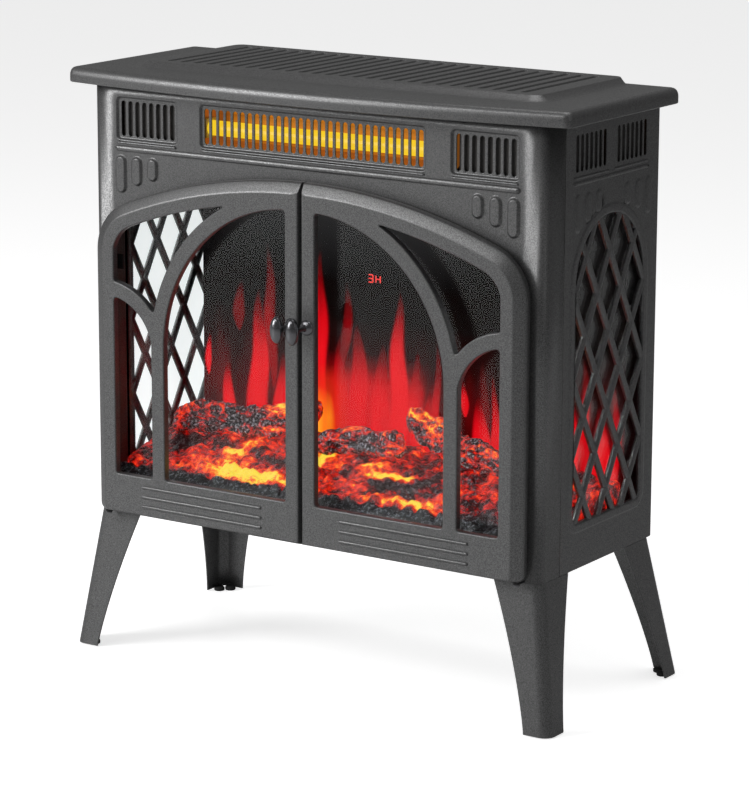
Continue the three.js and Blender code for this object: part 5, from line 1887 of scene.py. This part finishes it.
@dataclass
class FibreLog:
    """A charred log: a bent tube with bark ridges, knots and blunt ends."""

    node: str
    start: tuple[float, float, float]
    end: tuple[float, float, float]
    radius: float
    seed: int
    patches: tuple[Patch, ...] = ()
    bark_long: float = 19.0
    bark_wide: float = 8.0

    def build(self) -> None:
        """Builds the tube.

        The radius is the log's radius times an end cap (the eighth root of a super-ellipse), times
        a slow three-lobed swell, plus cracked bark and layered noise.
        """
        t = np.linspace(0, 1, 170)[:, None]
        turn = np.linspace(0, 2 * np.pi, 121)[None, :-1]
        a, b = np.array(self.start), np.array(self.end)
        way = a + (b - a) * t
        cap = (1 - np.abs(2 * t - 1) ** 9) ** 0.5
        swell = 1 + 0.12 * np.sin(3 * turn + self.seed + 4 * t) + 0.1 * np.sin(9 * t + 2 * self.seed + turn)
        bend = 4.5 * np.sin(5 * t + self.seed)
        unit = np.stack([0 * turn + way[:, :1], np.cos(turn) + 0 * t, np.sin(turn) + 0 * t], -1)
        girth = self.radius / self.bark_wide
        around = unit * (1 / self.bark_long, girth, girth)
        bark = np.minimum(crack_distance(around, self.seed) * 2.0, 1.0)
        slabs = np.minimum(crack_distance(around * 0.45 + 5.7, self.seed + 3) * 1.6, 1.0)
        rough = layered_noise(around * 1.3 + 3.1, 5, self.seed)
        reach = (self.radius * swell + 3.4 * bark + 5.5 * slabs - 5.5 + 3.8 * rough) * cap
        points = np.stack([
            unit[..., 0] + 3.0 * rough * cap, way[:, 1:2] + bend + reach * unit[..., 1],
            way[:, 2:3] + 0.6 * bend + 0.92 * reach * unit[..., 2],
        ], -1)
        shell = Surface()
        shell.grid(points, closed=True)
        piece = shell.build(f"{self.node}_moulding", CHARRED, crease=70.0, values={"fire_warmth": self.heat})
        finish_piece(piece, "casing", "charred", self.node)

    def heat(self, points: Array) -> Array:
        """Even warmth plus the log's own patches, with more along its cracks.

        Args:
            points: Points in millimetres, as rows of x, y and z.

        Returns:
            Heat at each point.
        """
        cracks = np.clip(1 - crack_distance(points / (14.0, 9.0, 9.0), self.seed) * 3.5, 0, 1)
        warm = 0.26 + sum(patch.at(points[:, 0], points[:, 2]) for patch in self.patches)
        return warm + 0.4 * cracks


@dataclass(frozen=True)
class Tongue:
    """One flame on the screen: its foot's place, its tip's height, half width, lean and brightness."""

    x: float
    tip: float
    half: float
    strength: float = 1.0
    lean: float = 0.0
    foot: float = 190.0

    def at(self, x: Array, z: Array) -> Array:
        """Brightness: full inside a leaf shape that narrows to the tip, soft at its edges.

        Args:
            x: Places across the screen.
            z: Places up the screen.

        Returns:
            Brightness at each place.
        """
        rise = (z - self.foot) / (self.tip - self.foot)
        body = np.clip(1 - np.clip(rise, 0, 1) ** 2.2, 0, 1) ** 0.75
        if self.foot > 200:
            body = body * np.clip(rise * 3.0, 0, 1) ** 0.6
        sway = 2.2 * np.sin(z / 17.0 + self.x)
        middle = self.x + self.lean * np.clip(rise, 0, 1) + sway
        across = np.abs(x - middle) / np.maximum(self.half * body, 0.05)
        edge_fall = np.clip((1.34 - across) / 0.74, 0, 1)
        fade = np.clip((1.02 - rise) / 0.5, 0, 1) ** 0.7
        soft = edge_fall * edge_fall * (3 - 2 * edge_fall)
        return self.strength * soft * fade * ((rise > 0) & (rise < 1.02))


TONGUES = (
    Tongue(-257, 316, 5, 0.95, foot=268), Tongue(-231, 292, 11, 0.95),
    Tongue(-217, 380, 9, 0.42, 4, 322), Tongue(-192, 372, 16, 1.0, 3),
    Tongue(-172, 424, 10, 0.5, -6, 262), Tongue(-160, 306, 13, 1.0), Tongue(-140, 300, 14, 0.9),
    Tongue(-113, 424, 14, 1.05, 5), Tongue(-76, 392, 8, 0.45, 2, 300), Tongue(-82, 338, 15, 0.85),
    Tongue(-60, 348, 18, 0.9), Tongue(-30, 330, 18, 0.95), Tongue(-8, 388, 15, 1.05),
    Tongue(14, 328, 12, 0.95), Tongue(-100, 318, 16, 0.85), Tongue(40, 342, 7, 0.7),
    Tongue(34, 300, 14, 0.8), Tongue(74, 302, 6, 0.9, foot=262), Tongue(60, 278, 12, 0.7),
    Tongue(95, 290, 15, 1.0), Tongue(99, 336, 8, 0.4), Tongue(112, 314, 7, 0.9),
    Tongue(138, 350, 14, 0.95), Tongue(160, 300, 15, 0.9), Tongue(176, 372, 12, 0.8, 5),
    Tongue(200, 318, 15, 1.0), Tongue(222, 346, 9, 0.7, -4), Tongue(238, 296, 14, 0.9),
    Tongue(256, 326, 7, 0.8),
)


@dataclass
class FlameScreen:
    """The smoked screen behind the embers, its flames kept as heat and amber on its points, with a painted
    grey reflection kept beside them.
    """

    step: float = 1.6
    digit_lefts: tuple[float, float] = (-46.6, -37.2)
    digit_foot: float = 394.6

    def heat(self, points: Array) -> Array:
        """The strongest flame at each point, over a dark red glow with upright streaks low down.

        Args:
            points: Points in millimetres, as rows of x, y and z.

        Returns:
            Heat at each point.
        """
        x, z = points[:, 0], points[:, 2]
        streaks = 0.5 + 0.5 * value_noise(np.stack([x / 9.0, 0 * x, z / 70.0], -1), 4)
        glow = 0.34 * np.clip((352 - z) / 90, 0, 1) ** 0.8 * (0.35 + 0.65 * streaks)
        sides = np.clip((x + 124) / 14, 0, 1) * np.clip((34 - x) / 14, 0, 1)
        mass = 0.74 * np.clip((322 - z) / 40, 0, 1) * sides
        best = np.maximum(glow, mass)
        for tongue in TONGUES:
            best = np.maximum(best, tongue.at(x, z))
        return best * (0.86 + 0.14 * streaks)

    def amber(self, points: Array) -> Array:
        """The yellow root of the flames, left of the middle.

        Args:
            points: Points in millimetres, as rows of x, y and z.

        Returns:
            Amber at each point.
        """
        x, z = points[:, 0], points[:, 2]
        root = np.clip((300 - z) / 60, 0, 1) * np.clip((x + 124) / 7, 0, 1) * np.clip((-70 - x) / 34, 0, 1)
        return root * (0.72 + 0.28 * value_noise(np.stack([x / 8.0, 0 * x, z / 60.0], -1), 8))

    def haze(self, points: Array) -> Array:
        """Painted grey reflection high on the screen, gone by the flames' tips.

        Args:
            points: Points in millimetres, as rows of x, y and z.

        Returns:
            Haze at each point.
        """
        x, z = points[:, 0], points[:, 2]
        sides = np.clip((x + 262) / 60, 0.35, 1) * np.clip((130 - x) / 90, 0.1, 1)
        return np.clip((z - 392) / 110, 0, 1) * sides

    def build(self) -> None:
        """Builds the screen as a finely divided slab, closed by its edges and plain back."""
        (x0, y0, z0), (x1, y1, z1) = (np.array(p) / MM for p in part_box("flame_screen"))
        x = np.linspace(x0, x1, int((x1 - x0) / self.step))
        z = np.linspace(z0, z1, int((z1 - z0) / self.step))
        gx, gz = np.meshgrid(x, z)
        face = np.stack([gx, y0 + 0 * gx, gz], -1)
        border = np.vstack([face[0], face[1:, -1], face[-1, -2::-1], face[-2:0:-1, 0]])
        back = border.copy()
        back[:, 1] = y1
        shell = Surface()
        shell.grid(face)
        shell.grid(np.stack([border, back]), closed=True)
        shell.fill([back[:, [0, 2]]], front_place(y1))
        piece = shell.build("flame_screen_panel", SCREEN, values={
            "fire_warmth": self.heat, "amber": self.amber, "haze": self.haze,
        })
        finish_piece(piece, "casing", "screen", "flame_screen")
        self.digits(y0)

    def digits(self, front: float) -> None:
        """The timer's two lit characters, each of up to seven bars.

        Args:
            front: Plane of the screen's face.
        """
        bars = {
            "a": (0.0, 1.0, 1, 0), "g": (0.0, 0.5, 1, 0), "d": (0.0, 0.0, 1, 0),
            "f": (0.0, 0.5, 0, 1), "b": (1.0, 0.5, 0, 1), "e": (0.0, 0.0, 0, 1), "c": (1.0, 0.0, 0, 1),
        }
        wide, tall, thick, gap = 5.6, 8.0, 1.25, 0.22
        shell = Surface()
        for left, lit in zip(self.digit_lefts, ("abgcd", "fbgec")):
            for bar in lit:
                u, v, along, up = bars[bar]
                x0, z0 = left + u * wide, self.digit_foot + v * tall
                x1, z1 = x0 + along * wide, z0 + up * tall / 2
                h = thick / 2
                box = np.array([[x0 - h + gap * along + h * along, z0 - h + (gap + h) * up],
                                [x1 + h - gap * along - h * along, z1 + h - (gap + h) * up]])
                (u0, v0), (u1, v1) = box
                loop = rounded_box(u0, u1, v0, v1, 0.3, 2)
                place = front_place(front)
                shell.sweep(loop, [(0.0, 0.05), (0.0, 0.55)], place)
                shell.fill([loop], place, 0.05)
                shell.fill([loop], place, 0.55)
        piece = shell.build("timer_digits", DIGITS)
        finish_piece(piece, "casing", "digits")


# ---------------------------------------------------------------- parts carried over


SLOT_FINISH = {
    "powder_coat": POWDER, "dark_steel": INNER, "bare_steel": STEEL, "knob_metal": GUNMETAL, "glass": GLASS,
    "screen": SCREEN, "embers": EMBERS, "charred": CHARRED, "reflector": REFLECTOR_PAINTED_GLOW, "quartz": QUARTZ,
    "ceramic": CERAMIC, "plastic": PLASTIC, "rubber": RUBBER, "circuit": CIRCUIT, "digits": PLASTIC,
}


def dress() -> None:
    """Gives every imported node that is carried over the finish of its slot."""
    for name, node in sorted(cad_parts.items()):
        for index, old in enumerate(node.data.materials):
            finish = SLOT_FINISH.get(old.name.split(".")[0] if old else "")
            if finish is None:
                LOG.warning("%s: no finish for %s", name, old.name if old else None)
                continue
            if "baffle" in name:
                finish = GROOVE
            elif "hinge_pin" in name:
                finish = GUNMETAL
            node.data.materials[index] = finish.material()
        LOG.info("%s: dressed", name)


# ---------------------------------------------------------------- studio


@dataclass
class Studio:
    """Pale floor, soft lights, white surround and the camera."""

    camera_at: tuple[float, float, float] = (1.89292, -2.85680, 1.07439)
    azimuth: float = 33.356
    elevation: float = 12.955
    roll: float = 0.172
    lens: float = 150.96
    fill_light: tuple[float, float, float] = (0.15, 0.15, 0.15)
    floor_reach: float = 20000.0
    aim: tuple[float, float, float] = (0.0, 0.0, 0.35)

    def light(self, name: str, at: Sequence[float], size: tuple[float, float], power: float) -> None:
        """Adds a rectangular light that faces the stove's middle.

        Args:
            name: The light's name.
            at: Its place, in metres.
            size: Its width and height, in metres.
            power: Its power, in watts.
        """
        lamp = bpy.data.lights.new(name, "AREA")
        lamp.shape = "RECTANGLE"
        lamp.size, lamp.size_y = size
        lamp.energy = power
        holder = bpy.data.objects.new(name, lamp)
        holder.location = at
        holder.rotation_euler = (Vector(self.aim) - Vector(at)).to_track_quat("-Z", "Y").to_euler()
        bpy.context.scene.collection.objects.link(holder)

    def camera(self) -> None:
        """Places the camera from its turn, tilt and roll."""
        a, e, r = (math.radians(v) for v in (self.azimuth, self.elevation, self.roll))
        back = Vector((math.sin(a) * math.cos(e), -math.cos(a) * math.cos(e), math.sin(e)))
        right = Vector((math.cos(a), math.sin(a), 0.0))
        up = back.cross(right)
        across = right * math.cos(r) + up * math.sin(r)
        upright = up * math.cos(r) - right * math.sin(r)
        lens = bpy.data.cameras.new("camera")
        lens.lens = self.lens
        lens.sensor_width = 36.0
        holder = bpy.data.objects.new("camera", lens)
        turn = Matrix((across, upright, back)).transposed().to_4x4()
        holder.matrix_world = Matrix.Translation(self.camera_at) @ turn
        bpy.context.scene.collection.objects.link(holder)
        bpy.context.scene.camera = holder

    def surround(self) -> None:
        """White where the camera looks at it, dim grey as a light."""
        world = bpy.data.worlds.new("surround")
        world.use_nodes = True
        graph = Graph(world.node_tree)
        colour = graph.mix(graph.looked_at(), (*self.fill_light, 1), (1.0, 1.0, 1.0, 1))
        graph.link(colour, world.node_tree.nodes["Background"].inputs["Color"])
        bpy.context.scene.world = world

    def build(self) -> None:
        """Builds the floor, the lights, the camera and the surround."""
        floor = Surface()
        r = self.floor_reach
        floor.fill([np.array([[-r, -r], [r, -r], [r, r], [-r, r]])], plan_place(-0.2))
        floor.build("studio_floor", FLOOR, facing=Vector((0, 0, 1)))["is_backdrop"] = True
        self.light("key_light", (-2.2, -2.6, 1.7), (1.5, 1.5), 84.0)
        self.light("top_light", (0.2, 0.3, 2.6), (2.0, 1.4), 22.0)
        self.light("edge_light", (2.6, -0.6, 1.5), (0.4, 1.8), 2.5)
        self.light("rim_strip", (-0.9, -2.2, 2.5), (2.4, 0.25), 24.0)
        self.surround()
        self.camera()
        view = bpy.context.scene.view_settings
        view.view_transform = "Standard"
        view.look = "None"


def main() -> None:
    """Builds every piece in turn, then the studio."""
    logging.basicConfig(level=logging.INFO, format="%(message)s")
    dress()
    Mantel().build()
    FrontPanel().build()
    for side in Side:
        SidePanel(side).build()
        Door(side).build()
        for end in (-1, 1):
            Leg(side, end).build()
            FootPad(side, end).build()
    EmberBed().build()
    for log in (
        FibreLog("log_left", (-247.4, -2.1, 232.5), (-73.7, 24.4, 255.5), 19.0, 2, (
            Patch(-120, 263, 16, 6, 0.5), Patch(-117, 238, 10, 4, 0.5), Patch(-181, 243, 60, 12, -0.26, 8),
            Patch(-95, 262, 18, 9, 0.3),
        )),
        FibreLog("log_middle", (-63.2, 6.1, 234.5), (55.3, -5.4, 244.5), 16.0, 5, (
            Patch(-52, 247, 14, 10, -0.35), Patch(2, 238, 26, 12, -0.25), Patch(-24, 252, 14, 5, 0.35, 30),
        )),
        FibreLog("log_right", (21.1, 50.9, 260.5), (200.0, -2.1, 228.5), 17.0, 9, (
            Patch(38, 268, 18, 6, 0.5, -20), Patch(51, 248, 20, 8, -0.3, -30),
            Patch(90, 252, 24, 6, 0.35, -15), Patch(121, 228, 22, 12, -0.2, -20),
        )),
    ):
        log.build()
    FlameScreen().build()
    Studio().build()
    boxes = {"cad": CAD_BOX, "looks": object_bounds()}
    {key: [list(map(float, corner)) for corner in box] for key, box in boxes.items()}


if __name__ == "__main__":
    main()
